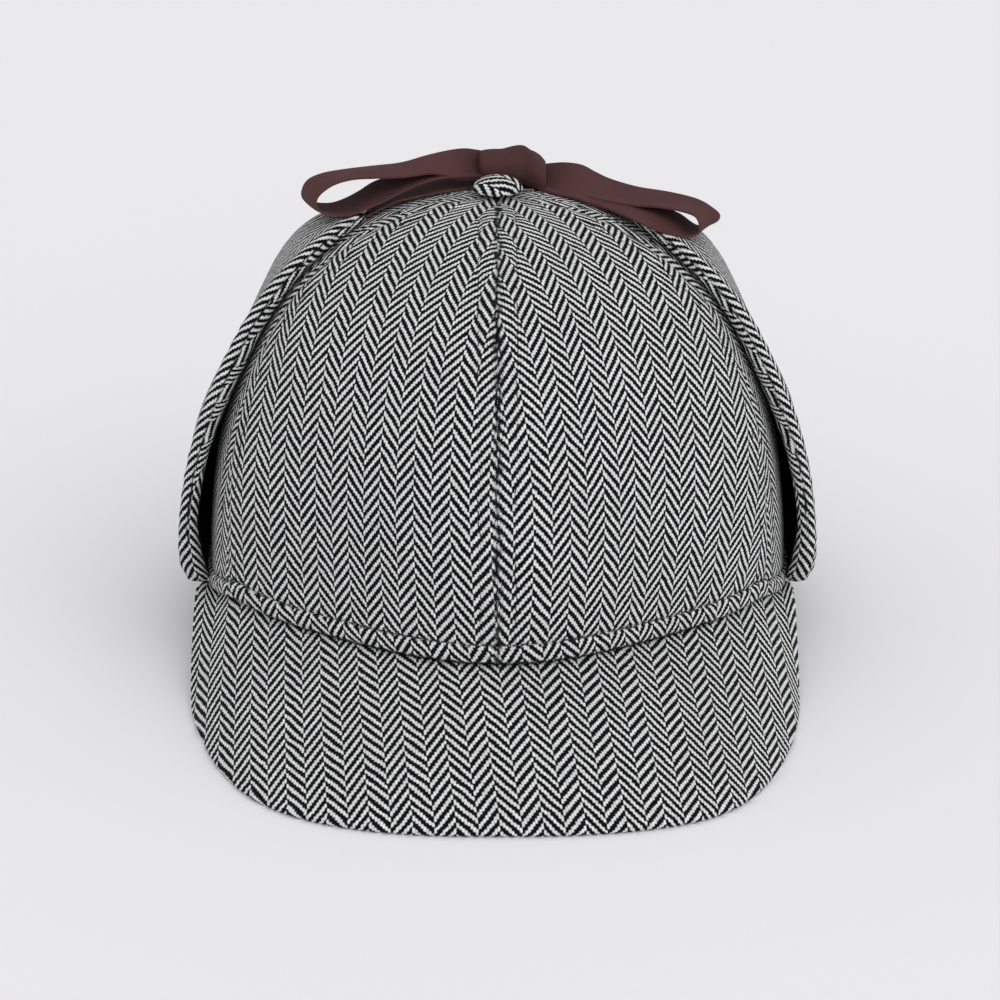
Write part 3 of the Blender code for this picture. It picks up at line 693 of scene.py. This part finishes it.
class Gore:
    """One panel of the crown: its shape with seams and welt, and how its cloth lies."""

    def __init__(self, name, sizes):
        self.name = name
        first_seam = GORES.index(name)
        self.seams = (first_seam, first_seam + 1)
        self.middle = (first_seam + 0.5) * SIXTH
        self.sizes = sizes
        self.ladder = np.linspace(0.0, 1.0, 481)
        line = crown_surface(self.middle + 0 * self.ladder, self.ladder)
        self.up = run_length(line, 0)
        radius = np.hypot(line[:, 0], line[:, 1])
        self.narrowing = np.clip(-np.gradient(radius, self.up), 0.02, 1.0)
        self.reach = radius / self.narrowing

    def seam_azimuth(self, seam, rise):
        """Where a seam runs: a little unsteadily, and the seams beside the front bow out."""
        bow = np.radians(np.interp(rise, *SEAM_BOW)) * BOWED_SEAMS.get(seam, 0)
        unsteady = np.sin(rise * 61 + seam % 6) + 0.8 * np.sin(rise * 143 + 2 * np.sin(rise * 31))
        unsteady = unsteady + 1.5 * np.sin(rise * 397 + 2 * np.sin(rise * 83))
        return seam * SIXTH + bow + 0.0022 * unsteady * (1 - rise)

    def azimuth(self, across, rise):
        """The azimuth between the gore's two seams."""
        first, last = (self.seam_azimuth(seam, rise) for seam in self.seams)
        return first + (last - first) * across

    def width(self, rise):
        """The gore's width along the crown."""
        _, front, side = smooth_row(CROWN_ROWS, rise)
        return SIXTH * (CROWN_HALF_WIDTH * side + CROWN_HALF_LENGTH * front) / 2

    def flat(self, across, rise):
        """The gore laid flat: sideways from its middle line, and up from its hem."""
        reach = np.interp(rise, self.ladder, self.reach)
        turn = (self.azimuth(across, rise) - self.middle) * np.interp(rise, self.ladder, self.narrowing)
        return reach * np.sin(turn), np.interp(rise, self.ladder, self.up) + reach * (1 - np.cos(turn))

    def turned(self, across, rise, lean):
        """The flat gore's two directions, turned to the yarn."""
        sideways, up = self.flat(across, rise)
        return (
            sideways * math.cos(lean) - up * math.sin(lean),
            sideways * math.sin(lean) + up * math.cos(lean) * PICK_CLOSENESS,
        )

    def cloth(self, across, rise):
        """Where each point lies on the herringbone."""
        if self.name in STRETCHED_YARN:
            s, u = (length / 0.1 for length in self.flat(across, rise))
            terms = (1 + 0 * s, s, u, s * u, s * s, u * u, s * u * u, s * s * u, u**3, s**3)
            return np.stack(terms, -1) @ np.array(STRETCHED_YARN[self.name]).T * MM
        yarn_turn, first_column = FLAT_YARN[self.name]
        fixed_edge, inward = (1.0, -1.0) if yarn_turn < 0 else (0.0, 1.0)
        corner, _ = self.turned(np.array(fixed_edge), np.array(0.0), math.radians(yarn_turn))
        sideways, up = self.turned(across, rise, math.radians(yarn_turn))
        return np.stack((sideways - (corner + inward * first_column * MM), up), -1)

    def welt_cloth(self, across, rise):
        """Where each point of the welt lies on its own strip of cloth, cut a little askew."""
        sideways, up = np.moveaxis(self.cloth(across, rise), -1, 0)
        return np.stack((sideways * 0.985 + up * 0.20 + 1.1 * MM, up * 1.05 - sideways * 0.10), -1)

    def seam_parts(self, across, rise):
        """The distance to the nearer seam, how strongly that seam is drawn, and a number of its own."""
        near = np.minimum(across, 1 - across) * self.width(rise)
        seam = np.where(across < 0.5, *self.seams) % 6
        strength = np.where(seam % 3 == 0, 1.0, 0.18 + 0.30 * smooth_between(0.5, 0.62, rise))
        return near, strength, seam * 7.0 + 2.1 * (across > 0.5)

    def relief(self, across, rise):
        """How far the cloth stands out at its seams, stitch lines and welt."""
        sizes = self.sizes
        up = np.interp(rise, self.ladder, self.up)
        seam, strength, beat = self.seam_parts(across, rise)
        strength = strength * smooth_between(5 * MM, 18 * MM, self.width(rise))
        line = sizes.stitch_line
        allowance = smooth_between(0.5 * MM, 2.2 * MM, seam) - smooth_between(line - 1.2 * MM, line, seam)
        wander = np.sin(up / (17 * MM) + beat)
        pucker = np.sin(up * math.tau / (4.6 * MM) + beat + 1.4 * wander) * ridge(seam, line * 0.7, 2.8 * MM)
        broken = np.sin(up * math.tau / (1.7 * MM) + 3 * np.sin(up / (5 * MM) + beat))
        broken = broken * ridge(seam, 0.7 * MM, 0.7 * MM)
        beside = 0.34 * allowance - 0.30 * ridge(seam, line, 0.55 * MM) + 0.14 * pucker + 0.16 * broken
        out = -0.22 * ridge(seam, 0.0, 0.75 * MM) * (0.6 + 0.4 * strength) + beside * strength

        azimuth = self.azimuth(across, rise)
        arc = azimuth * CROWN_HALF_WIDTH
        welt = 1 - smooth_between(sizes.welt - 0.3 * MM, sizes.welt + 0.5 * MM, up)
        belly = 0.26 * np.sin(np.clip(up / sizes.welt, 0, 1) * math.pi)
        gather = np.sin(arc * math.tau / (4.4 * MM) + 1.6 * np.sin(arc / (13 * MM)))
        out = out + welt * (0.62 + belly) - 0.50 * ridge(up, sizes.welt + 0.5 * MM, 0.55 * MM)
        out = out + 0.13 * gather * ridge(up, sizes.welt * 0.95, 2.6 * MM)
        out = out - 0.9 * np.clip(1 - up / (1.1 * MM), 0, 1) ** 2

        ahead = np.cos(azimuth) ** 2
        slow = np.sin(5 * azimuth + 1.3 + 3 * rise) * np.sin(6 * rise + 0.7)
        fullness = np.sin(13 * azimuth + 0.6) * np.exp(-up / (22 * MM)) * smooth_between(4 * MM, 12 * MM, up)
        return (out + (0.45 * slow + 0.22 * fullness) * ahead) * MM

    def shade(self, across, rise):
        """Painted shade, 0 to 1, in the seams' grooves, in the groove along the hem's stitch line and along
        the hem's lower edge.
        """
        up = np.interp(rise, self.ladder, self.up)
        seam, strength, beat = self.seam_parts(across, rise)
        ragged = 1 + 0.5 * np.sin(up * math.tau / (2.3 * MM) + beat + 2 * np.sin(up / (4 * MM)))
        arc = self.azimuth(across, rise) * CROWN_HALF_WIDTH
        dashes = 0.75 + 0.25 * np.sin(arc * math.tau / (3.1 * MM))
        # painted shade in each seam's groove, ragged, with a wider and weaker band beside it
        dark = 0.46 * ridge(seam, 0.0, 1.1 * MM * ragged) + 0.16 * ridge(seam, 0.0, 3.2 * MM)
        dark = dark * (0.3 + 0.7 * strength)
        # painted shade in the groove above the welt, stronger and weaker in dashes
        dark = dark + 0.75 * dashes * ridge(up, self.sizes.welt + 0.45 * MM, 0.42 * MM)
        # painted shade along the hem's lower edge
        return np.clip(dark + 0.85 * ridge(up, 0, 0.9 * MM), 0.0, 1.0)

    def points(self, across, rise):
        """The gore's outer face."""
        radius = np.maximum(self.width(rise) / SIXTH, 1e-4)
        gap = np.minimum(0.02 * MM / radius, 0.01) / SIXTH
        azimuth = self.azimuth(gap + across * (1 - 2 * gap), rise)
        return crown_point(azimuth, rise, self.relief(across, rise))

    def rise_at(self, up):
        """The rise at a height along the cloth."""
        return np.interp(up, self.up, self.ladder)


def make_gore(name, gore):
    """A panel of the crown as one sheet of cloth with a wall."""
    welt_edge = float(gore.rise_at(gore.sizes.welt + 0.3 * MM))
    across = np.interp(np.linspace(0, 1, GORE_COLUMNS), (0, 0.16, 0.84, 1), (0, 0.08, 0.92, 1))
    row_stops = (0, WELT_ROWS, GROOVE_ROWS, GORE_ROWS - 1)
    rise = np.interp(np.arange(GORE_ROWS), row_stops, (0, welt_edge, welt_edge + 0.014, PANEL_END))
    across, rise = np.meshgrid(across, rise)
    patch = (WELT_ROWS, GORE_COLUMNS, gore.welt_cloth(across, rise))
    shade = gore.shade(across, rise)
    builder = laid_grid(gore.points(across, rise), gore.cloth(across, rise), patch=patch, shade=shade)
    panel = new_piece(f"{name}_cloth", builder, "wool", [name])
    add_wall(panel, CLOTH, -1)


def add_stitch(builder, middle, ahead, outward):
    """One stitch: a short thread half sunk in the cloth."""
    aside = ahead.cross(outward).normalized()
    outward = aside.cross(ahead).normalized()
    turn = Matrix((aside, ahead, outward)).transposed().to_4x4()
    size = Matrix.Diagonal((STITCH_HALF_WIDTH, STITCH_HALF_LENGTH, STITCH_HALF_WIDTH, 1.0))
    place = Matrix.Translation(middle) @ turn @ size
    bmesh.ops.create_uvsphere(builder, u_segments=6, v_segments=5, radius=1.0, matrix=place)


def stitch_runs(gore, sizes):
    """(across, rise) of the stitches along both seams of a gore and along its hem."""
    heights = np.arange(sizes.welt + 2.2 * MM, gore.up[-1], sizes.stitch_pitch)
    rises = gore.rise_at(heights)
    widths = gore.width(rises)
    roomy = widths > 3.4 * sizes.stitch_line
    beside = sizes.stitch_line / widths[roomy]
    hem_width = gore.width(np.array(0.0))
    count = int(hem_width / sizes.stitch_pitch)
    along_hem = (np.arange(count) + 0.5) / count
    hem_rise = float(gore.rise_at(sizes.welt + 0.5 * MM))
    return (
        (beside, rises[roomy], (0.0, 0.004)),
        (1 - beside, rises[roomy], (0.0, 0.004)),
        (along_hem, np.full(count, hem_rise), (0.006, 0.0)),
    )


def make_topstitching(gores, sizes):
    """Every stitch beside the crown's seams and above its hem, in one piece."""
    builder = bmesh.new()
    for gore in gores:
        for across, rise, (step_across, step_rise) in stitch_runs(gore, sizes):
            middles = gore.points(across, rise)
            ahead = gore.points(across + step_across, rise + step_rise)
            ahead = ahead - gore.points(across - step_across, rise - step_rise)
            azimuth = gore.azimuth(across, rise)
            outward = crown_point(azimuth, rise, np.full(rise.shape, 1.0)) - crown_surface(azimuth, rise)
            for middle, run, out in zip(middles + outward * STITCH_LIFT, ahead, outward):
                add_stitch(builder, Vector(middle), Vector(run).normalized(), Vector(out))
    builder.loops.layers.uv.new(CLOTH_MAP)
    new_piece("crown_topstitching", builder, "thread")


# ---------------------------------------------------------------- the peaks
def peak_places(end):
    """The ring of points round a peak for each station along it: from its seam over the top and back."""
    share = np.linspace(-1, 1, 241)[:, None]
    azimuth = share * PEAK_HEM_ANGLE
    seam = crown_surface(azimuth, np.zeros_like(azimuth))
    inward = unit(seam * (-1, -1, 0))
    inner = seam + inward * PEAK_SEAM_TUCK - np.array((0, 0, PEAK_HEM_GAP))
    turn, power = share * math.pi / 2, 2 / PEAK_RIM_FULLNESS
    rim_x = np.sign(share) * PEAK_RIM_HALF_WIDTH * np.abs(np.sin(turn)) ** power
    rim_x = rim_x * (1 + PEAK_WIDER_LEFT * (share < 0) * smooth_between(0.72, 0.92, np.abs(share)))
    rim_y = -PEAK_RIM_CENTRE - PEAK_RIM_REACH * np.maximum(np.cos(turn), 0) ** power
    corner = np.where(share > 0, PEAK_CORNER_LEFT, PEAK_CORNER_RIGHT)
    rim_y = rim_y - corner * ridge(np.abs(turn), PEAK_CORNER_TURN, PEAK_CORNER_SPREAD)
    radius = PEAK_THICKNESS / 2
    nose = np.stack((rim_x, rim_y, np.full_like(rim_x, radius)), -1)
    lift = (PEAK_LIFT * smooth_between(PEAK_LIFT_FROM, 1.0, np.abs(share)))[..., None]
    nose[..., 1:] += (inner[..., 1:] - nose[..., 1:]) * lift
    out = unit((nose - inner) * (1, 1, 0))
    centre = nose - out * radius
    slope = centre - inner
    up = unit(np.cross(slope, np.cross((0.0, 0.0, 1.0), slope)))
    tilt = np.arctan2(up[..., 2], (up * out).sum(-1))[..., None]

    def face(steps, side):
        """The top (side 1) or the underside (side -1), from the seam to the rim."""
        steps = steps[None, :, None]
        edge = centre + up * radius * side
        start = inner + up * (side - 1) * radius
        return start + (edge - start) * steps + up * PEAK_CROWN_RISE * 4 * steps * (1 - steps)

    top = face(np.linspace(0, 1, PEAK_TOP_POINTS), 1)
    under = face(np.linspace(1, 0, 20)[1:], -1)
    angle = tilt + (-tilt - math.pi / 2) * np.linspace(0, 1, 15)[None, 1:, None]
    rim = centre + radius * (out * np.cos(angle) + np.array((0, 0, 1.0)) * np.sin(angle))
    rest = centre - np.array((0, 0, radius)) - out * (np.array((0.8, 1.6))[None, :, None] * MM)
    rest[..., 2] = np.maximum(rest[..., 2], 0.0)
    places = np.concatenate((top, rim, rest, under), axis=1)

    weave = np.sin(places[..., 0] / (9.3 * MM)) * np.sin(places[..., 1] / (12 * MM) + 1.0)
    slack = 0.10 * MM * weave * np.abs(places[..., 2] > 3 * MM)
    places[..., 2] = np.maximum(places[..., 2] + slack, 0.0)
    places = np.concatenate((places, places[:, :1]), axis=1)
    places[..., 1] *= end
    return places


def peak_cloth(places, end):
    """The peak's cloth, pulled over the board: its columns lean a little and close up towards the sides.

    x and y are in tenths of a metre. Past the rim the yarn goes straight on, round it and underneath.
    """
    top_end = PEAK_TOP_POINTS - 1
    ahead = places[..., 1] * end
    x, y = places[..., 0] / 0.1, (ahead + 0.11) / 0.1
    sideways = 90.8 * x + 10.3 * x**3 + 5.2 * x**5 + 0.9 * x**2 + (10.0 + 4.6 * x - 1.7 * x**2) * y
    sideways = (sideways + (1.2 * x - 3.1) * y**2 - 1.4) * MM
    along = (94.4 + 4.0 * x + 7.7 * x**2) * y - 3.2 * x + 15.8 * x**2 - 38.8 * x**4 - 12.0 * x**6
    along = (along + (1.8 * y - 2.7 * x - 14.5) * y**2) * MM
    around = run_length(places, 1)
    beyond = around - around[:, top_end : top_end + 1]
    edge = along[:, top_end : top_end + 1]
    past = np.arange(places.shape[1])[None, :] > top_end
    along = np.where(past, edge - beyond, along)
    sideways = np.where(past, sideways[:, top_end : top_end + 1], sideways)
    return np.stack((sideways, along), -1)


def make_peak(name, end):
    """A stiff peak in cloth whose rim lies flat on the floor."""
    places = peak_places(end)
    builder = laid_grid(places, peak_cloth(places, end), closed=True)
    new_piece(f"{name}_cloth", builder, "wool", [name])


# ---------------------------------------------------------------- the ear flaps
def flap_measures(place):
    """The flap's measures at places along it: angles in radians, lengths in metres."""
    rise, half_width, gap, roll, low, high = smooth_row(FLAP_ROWS, place)
    half = np.radians(half_width)
    half_length = half * CROWN_HALF_LENGTH * smooth_row(CROWN_ROWS, rise)[1]
    return rise, half, half_length, gap * MM, roll * MM, low * MM, high * MM


def flap_faces(place, across):
    """The outsets of the flap's inner and outer face; across is -1 at its front edge and 1 at its rear."""
    rise, _, half_length, gap, roll, low, high = flap_measures(place)
    rear = across > 0
    least_gap = FLAP_LEAST_GAP + np.where(rise < FLAP_WELT_RISE, 0.8 * MM, 0.0)
    edge_gap = np.maximum(gap * np.where(rear, FLAP_REAR_SHARE, 1.0), least_gap)
    edge_roll = np.maximum(roll * np.where(rear, FLAP_REAR_SHARE, 1.0), FLAP_LEAST_ROLL)
    roll_share = np.minimum(FLAP_ROLL_WIDTH / half_length, 0.8)
    distance = np.abs(across)
    starts = np.where(rear, 0.5 * (1 - roll_share), 1 - roll_share)
    at_edge = smooth_between(starts, 1 - 0.5 * roll_share, distance)
    inner = low + (edge_gap - low) * at_edge
    outer = high + (edge_gap + edge_roll - high) * at_edge
    middle, half_thick = (inner + outer) / 2, (outer - inner) / 2
    rounding = np.minimum(edge_roll / 2 / half_length, 0.9)
    into = np.clip((distance - 1 + rounding) / rounding, 0.0, 1.0)
    half_thick = half_thick * np.sqrt(np.maximum(1 - into**2, 0.0))
    return middle - half_thick, middle + half_thick


def make_ear_flap(name, side):
    """A padded ear flap with a rolled edge, folded up from the hem against the crown."""
    lap = np.linspace(-math.pi, math.pi, 2 * FLAP_FRONT + 1)
    lap, place = np.meshgrid(lap, np.linspace(0, 1, FLAP_UP + 1))
    across = -np.cos(lap)
    inner, outer = flap_faces(place, across)
    rise, half, half_length, *_ = flap_measures(place)
    tip = np.sqrt(np.maximum(1 - smooth_between(0.93, 1.0, place) ** 2 * 0.75, 0.0))
    middle, thick = (inner + outer) / 2, (outer - inner) / 2
    up = run_length(crown_surface(np.full_like(rise, side * math.pi / 2), rise), 0)
    near_edge = smooth_between(1 - 1.6 * FLAP_ROLL_WIDTH / half_length, 1.0, -across)
    gather = np.sin(up * math.tau / (5.6 * MM) + 1.3 * np.sin(up / (15 * MM)) + side)
    outset = middle + thick * np.sign(lap) * tip
    outset = outset + 0.16 * MM * gather * near_edge * np.sign(lap) * (thick > 0.2 * MM)
    soft = np.sin(across * 4.1 + up / (21 * MM)) * np.sin(up / (14 * MM) + 0.8 * side)
    outset = outset + 0.30 * MM * soft * (lap > 0) * (1 - np.abs(across) ** 4)
    azimuth = side * (math.pi / 2 + across * half * tip)
    sideways = run_length(crown_point(azimuth, rise, outset), 1)
    sideways = sideways - sideways[:, FLAP_FRONT : FLAP_FRONT + 1]
    fold = ridge(sideways, 0.5 * MM, 0.5 * MM) * smooth_between(0.04, 0.12, rise)
    azimuth = azimuth + side * fold * 0.40 * MM / CROWN_HALF_LENGTH
    places = crown_point(azimuth, rise, outset)
    sizes = bpy.context.scene.hat_sizes
    start = 8 * sizes.end if side < 0 else 10.5 * sizes.end
    cloth = np.stack((sideways + start, up * 1.12), -1)
    lean = 0.42 * smooth_between(0.15, 0.45, rise)
    strip_across = sideways * np.cos(lean) + up * np.sin(lean) + start
    strip = np.stack((strip_across, up * 1.12 - sideways * lean * 1.4), -1)
    patch = (FLAP_UP, FLAP_FRONT + 1, strip)
    # painted shade in the fold pressed in beside the flap's front edge
    builder = laid_grid(places, cloth, closed=True, patch=patch, shade=0.75 * fold)
    flap = new_piece(f"{name}_cloth", builder, "wool", [name])


def make_flap_lining(name, side):
    """The thin black lining on the flap's inner face."""
    across, place = np.meshgrid(np.linspace(0, 1, 41), np.linspace(0.02, 0.62, 81))
    rise, half, half_length, *_ = flap_measures(place)
    front = -(1 - 3.4 * MM / half_length)
    share = front + (0.80 - front) * across
    inner, _ = flap_faces(place, share)
    azimuth = side * (math.pi / 2 + share * half)
    places = crown_point(azimuth, rise, inner - 0.15 * MM)
    if side < 0:
        places = places[:, ::-1]
    cloth = np.stack((run_length(places, 1), run_length(places, 0)), -1)
    lining = new_piece(f"{name}_cloth", laid_grid(places, cloth), "lining", [name])
    add_wall(lining, LINING_THICKNESS, -1)


# ---------------------------------------------------------------- button and ribbon
def make_button():
    """The cloth-covered button over the point where the six gores meet."""
    builder = bmesh.new()
    layer = builder.loops.layers.uv.new(CLOTH_MAP)
    bmesh.ops.create_uvsphere(builder, u_segments=72, v_segments=40, radius=1.0)
    centre_height = HEM_HEIGHT + CROWN_HEIGHT + BUTTON_SEAT + BUTTON_HALF_HEIGHT * BUTTON_BELOW
    cosine, sine = BUTTON_YARN
    flat_places = {}
    for corner in builder.verts:
        x, y, z = corner.co
        turn, drop = math.atan2(y, x), math.acos(max(-1.0, min(1.0, z)))
        low_down = float(smooth_between(0.55, -0.25, z))
        fold = 1 + 0.030 * low_down * math.cos(13 * turn + math.sin(3 * turn))
        run = (math.sin(drop) * 0.55 + drop * 0.45) * BUTTON_RADIUS * 0.78
        right, back = math.cos(turn) * run, math.sin(turn) * run
        flat_places[corner.index] = (right * cosine + back * sine + 9.8 * MM, back * cosine - right * sine)
        corner.co = (
            x * BUTTON_RADIUS * fold,
            y * BUTTON_RADIUS * fold,
            centre_height + z * BUTTON_HALF_HEIGHT * (BUTTON_BELOW if z < 0 else BUTTON_ABOVE),
        )
    for face in builder.faces:
        for loop in face.loops:
            loop[layer].uv = flat_places[loop.vert.index]
    new_piece("crown_button_cloth", builder, "wool", ["crown_button"])


def make_ribbon(name, places, wall_side, sizes, shade=None):
    """A ribbon through a grid of points, with the length of its middle line."""
    run = run_length(places, 0)[:, RIBBON_MIDDLE : RIBBON_MIDDLE + 1]
    across = np.linspace(0, 1, 2 * RIBBON_MIDDLE + 1) * sizes.ribbon_width
    cloth = np.stack((across + 0 * run, run + 0 * across), -1)
    builder = laid_grid(places, cloth, shade=shade)
    ribbon = new_piece(f"{name}_cloth", builder, "ribbon", [name])
    add_wall(ribbon, RIBBON_THICKNESS, wall_side)
    return ribbon, float(run[-1, 0])


def make_strip(name, rows, sizes):
    """A length of ribbon lying on the crown, its middle line given from above."""
    across, along = np.meshgrid(np.linspace(0, 1, 2 * RIBBON_MIDDLE + 1), np.linspace(0, 1, 81))
    here = smooth_row(rows, along)
    ahead = smooth_row(rows, along + 0.01) - smooth_row(rows, along - 0.01)
    span = np.hypot(*ahead)
    aside = sizes.ribbon_width * (across - 0.5)
    x = here[0] * MM + ahead[1] / span * aside
    y = here[1] * MM - ahead[0] / span * aside
    places = crown_over(x, y, RIBBON_GAP)
    places[..., 2] += 0.25 * MM * (1 + np.sin(along * 9.0 + across * 2.0))
    strip, length = make_ribbon(name, places, 1, sizes)


def make_knot():
    """The bow's knot: the ribbon wrapped over, ribs lying across the hat."""
    turn, along = np.meshgrid(np.linspace(0, math.tau, 97), np.linspace(0, 1, 61))
    across, back, up, half_depth, half_height = smooth_row(KNOT_ROWS, along)
    power = 2 / KNOT_FULLNESS
    side = np.sign(np.cos(turn)) * np.abs(np.cos(turn)) ** power
    lift = np.sign(np.sin(turn)) * np.abs(np.sin(turn)) ** power
    crease = 1 - 0.035 * ridge(along, 0.34, 0.05) - 0.03 * ridge(along, 0.68, 0.045)
    places = np.stack((across, back + side * half_depth * crease, up + lift * half_height * crease), -1) * MM
    cloth = np.stack((across * MM + 3 * MM, run_length(places, 1)), -1)
    # painted shade over the whole knot, deeper at its -X end and past its middle
    shade = 0.24 + 0.30 * ridge(along, 0.0, 0.10) + 0.20 * ridge(along, 0.62, 0.10)
    builder = laid_grid(places, cloth, closed=True, shade=shade)
    new_piece("bow_knot_cloth", builder, "ribbon", ["bow_knot"])


def make_held_ribbon(name, rows, sizes):
    """A strip of ribbon between two edges: a bow loop out from the knot and back, or a tie to it."""
    across, along = np.meshgrid(np.linspace(0, 1, 2 * RIBBON_MIDDLE + 1), np.linspace(0, 1, 221))
    edges = smooth_row(rows, along)
    front, rear = np.moveaxis(edges[:3], 0, -1), np.moveaxis(edges[3:], 0, -1)
    places = (front + (rear - front) * across[..., None]) * MM
    outward = unit(np.cross(rear - front, np.gradient(places, axis=0)))
    bow = 0.35 * MM * (1 - (2 * across - 1) ** 2)
    places = places + outward * bow[..., None]
    from_knot = np.linalg.norm(places - KNOT_MIDDLE, axis=-1)
    shade = 0.75 * ridge(from_knot, 6 * MM, 8 * MM)  # painted shade, deepest near the knot where the ribbon gathers into it
    ribbon, length = make_ribbon(name, places, 0, sizes, shade)


# ---------------------------------------------------------------- stage
def add_sun(name, towards, spread, strength):
    """A broad even light from one side of the sky."""
    lamp = bpy.data.lights.new(name, "SUN")
    lamp.angle, lamp.energy = math.radians(spread), strength
    light = bpy.data.objects.new(name, lamp)
    light.rotation_euler = Vector(towards).to_track_quat("Z", "Y").to_euler()
    bpy.context.scene.collection.objects.link(light)


def add_camera():
    """The photograph's view, from the front and above."""
    lens = bpy.data.cameras.new("photo_view")
    lens.lens, lens.sensor_width, lens.shift_x = CAMERA_LENS, CAMERA_SENSOR, CAMERA_SHIFT
    lens.clip_start, lens.clip_end = 0.01, 50.0
    camera = bpy.data.objects.new("photo_view", lens)
    above = CAMERA_AIM_HEIGHT + CAMERA_DISTANCE * math.sin(CAMERA_DOWN)
    camera.location = (0.0, -CAMERA_DISTANCE * math.cos(CAMERA_DOWN), above)
    camera.rotation_euler = (math.pi / 2 - CAMERA_DOWN, 0.0, 0.0)
    bpy.context.scene.collection.objects.link(camera)
    bpy.context.scene.camera = camera


# ---------------------------------------------------------------- operators
class HAT_OT_stage(bpy.types.Operator):
    """Make the floor, the lights and the camera"""

    bl_idname = "hat.stage"
    bl_label = "Stage"

    def execute(self, context):
        builder = bmesh.new()
        bmesh.ops.create_grid(builder, x_segments=1, y_segments=1, size=FLOOR_SIZE)
        mesh = bpy.data.meshes.new("studio_floor")
        builder.to_mesh(mesh)
        builder.free()
        mesh.materials.append(finish_for("floor"))
        floor = bpy.data.objects.new("studio_floor", mesh)
        context.scene.collection.objects.link(floor)
        add_sun("soft_key", towards=(0.40, -0.84, 0.66), spread=80.0, strength=1.10)
        world = bpy.data.worlds.new("studio")
        world.use_nodes = True
        background = world.node_tree.nodes["Background"]
        background.inputs["Color"].default_value = SKY_COLOUR
        background.inputs["Strength"].default_value = SKY_STRENGTH
        context.scene.world = world
        context.scene.view_settings.view_transform = "Standard"
        add_camera()
        return {"FINISHED"}


class HAT_OT_crown(bpy.types.Operator):
    """Make the crown's six gores and their topstitching"""

    bl_idname = "hat.crown"
    bl_label = "Crown"

    def execute(self, context):
        sizes = context.scene.hat_sizes
        gores = [Gore(name, sizes) for name in GORES]
        for gore in gores:
            make_gore(f"crown_panel_{gore.name}", gore)
        make_topstitching(gores, sizes)
        make_button()
        return {"FINISHED"}


class HAT_OT_peaks(bpy.types.Operator):
    """Make the front and the rear peak"""

    bl_idname = "hat.peaks"
    bl_label = "Peaks"

    def execute(self, context):
        make_peak("peak_front", 1)
        make_peak("peak_rear", -1)
        return {"FINISHED"}


class HAT_OT_flaps(bpy.types.Operator):
    """Make both ear flaps and their lining"""

    bl_idname = "hat.flaps"
    bl_label = "Ear flaps"

    def execute(self, context):
        for name, side in (("left", 1), ("right", -1)):
            make_ear_flap(f"ear_flap_{name}", side)
            make_flap_lining(f"flap_lining_{name}", side)
        return {"FINISHED"}


class HAT_OT_bow(bpy.types.Operator):
    """Make the ribbon: ties, knot, loops and tails"""

    bl_idname = "hat.bow"
    bl_label = "Ribbon and bow"

    def execute(self, context):
        sizes = context.scene.hat_sizes
        make_knot()
        make_held_ribbon("bow_loop_left", LOOP_LEFT_ROWS, sizes)
        make_held_ribbon("bow_loop_right", LOOP_RIGHT_ROWS, sizes)
        make_held_ribbon("ribbon_tie_right", TIE_RIGHT_ROWS, sizes)
        make_strip("ribbon_tie_left", TIE_LEFT_ROWS, sizes)
        make_strip("bow_tail_left", TAIL_LEFT_ROWS, sizes)
        make_strip("bow_tail_right", TAIL_RIGHT_ROWS, sizes)
        return {"FINISHED"}


OPERATORS = (HAT_OT_stage, HAT_OT_peaks, HAT_OT_crown, HAT_OT_flaps, HAT_OT_bow)


class HAT_PT_panel(bpy.types.Panel):
    """The hat's sizes, colours and steps"""

    bl_label = "Deerstalker hat"
    bl_idname = "HAT_PT_panel"
    bl_space_type = "VIEW_3D"
    bl_region_type = "UI"
    bl_category = "Hat"

    def draw(self, context):
        for group in (context.scene.hat_sizes, context.scene.hat_colours):
            for name in group.__annotations__:
                self.layout.prop(group, name)
        for operator in OPERATORS:
            self.layout.operator(operator.bl_idname)


CLASSES = (HatSizes, HatColours, *OPERATORS, HAT_PT_panel)


def register():
    """Adds the classes and the scene's settings."""
    for each in CLASSES:
        bpy.utils.register_class(each)
    bpy.types.Scene.hat_sizes = bpy.props.PointerProperty(type=HatSizes)
    bpy.types.Scene.hat_colours = bpy.props.PointerProperty(type=HatColours)


def unregister():
    """Takes them away again."""
    del bpy.types.Scene.hat_colours
    del bpy.types.Scene.hat_sizes
    for each in reversed(CLASSES):
        bpy.utils.unregister_class(each)


def main():
    """Makes the whole hat."""
    register()
    bpy.ops.hat.stage()
    bpy.ops.hat.peaks()
    bpy.ops.hat.crown()
    bpy.ops.hat.flaps()
    bpy.ops.hat.bow()


if __name__ == "__main__":
    main()
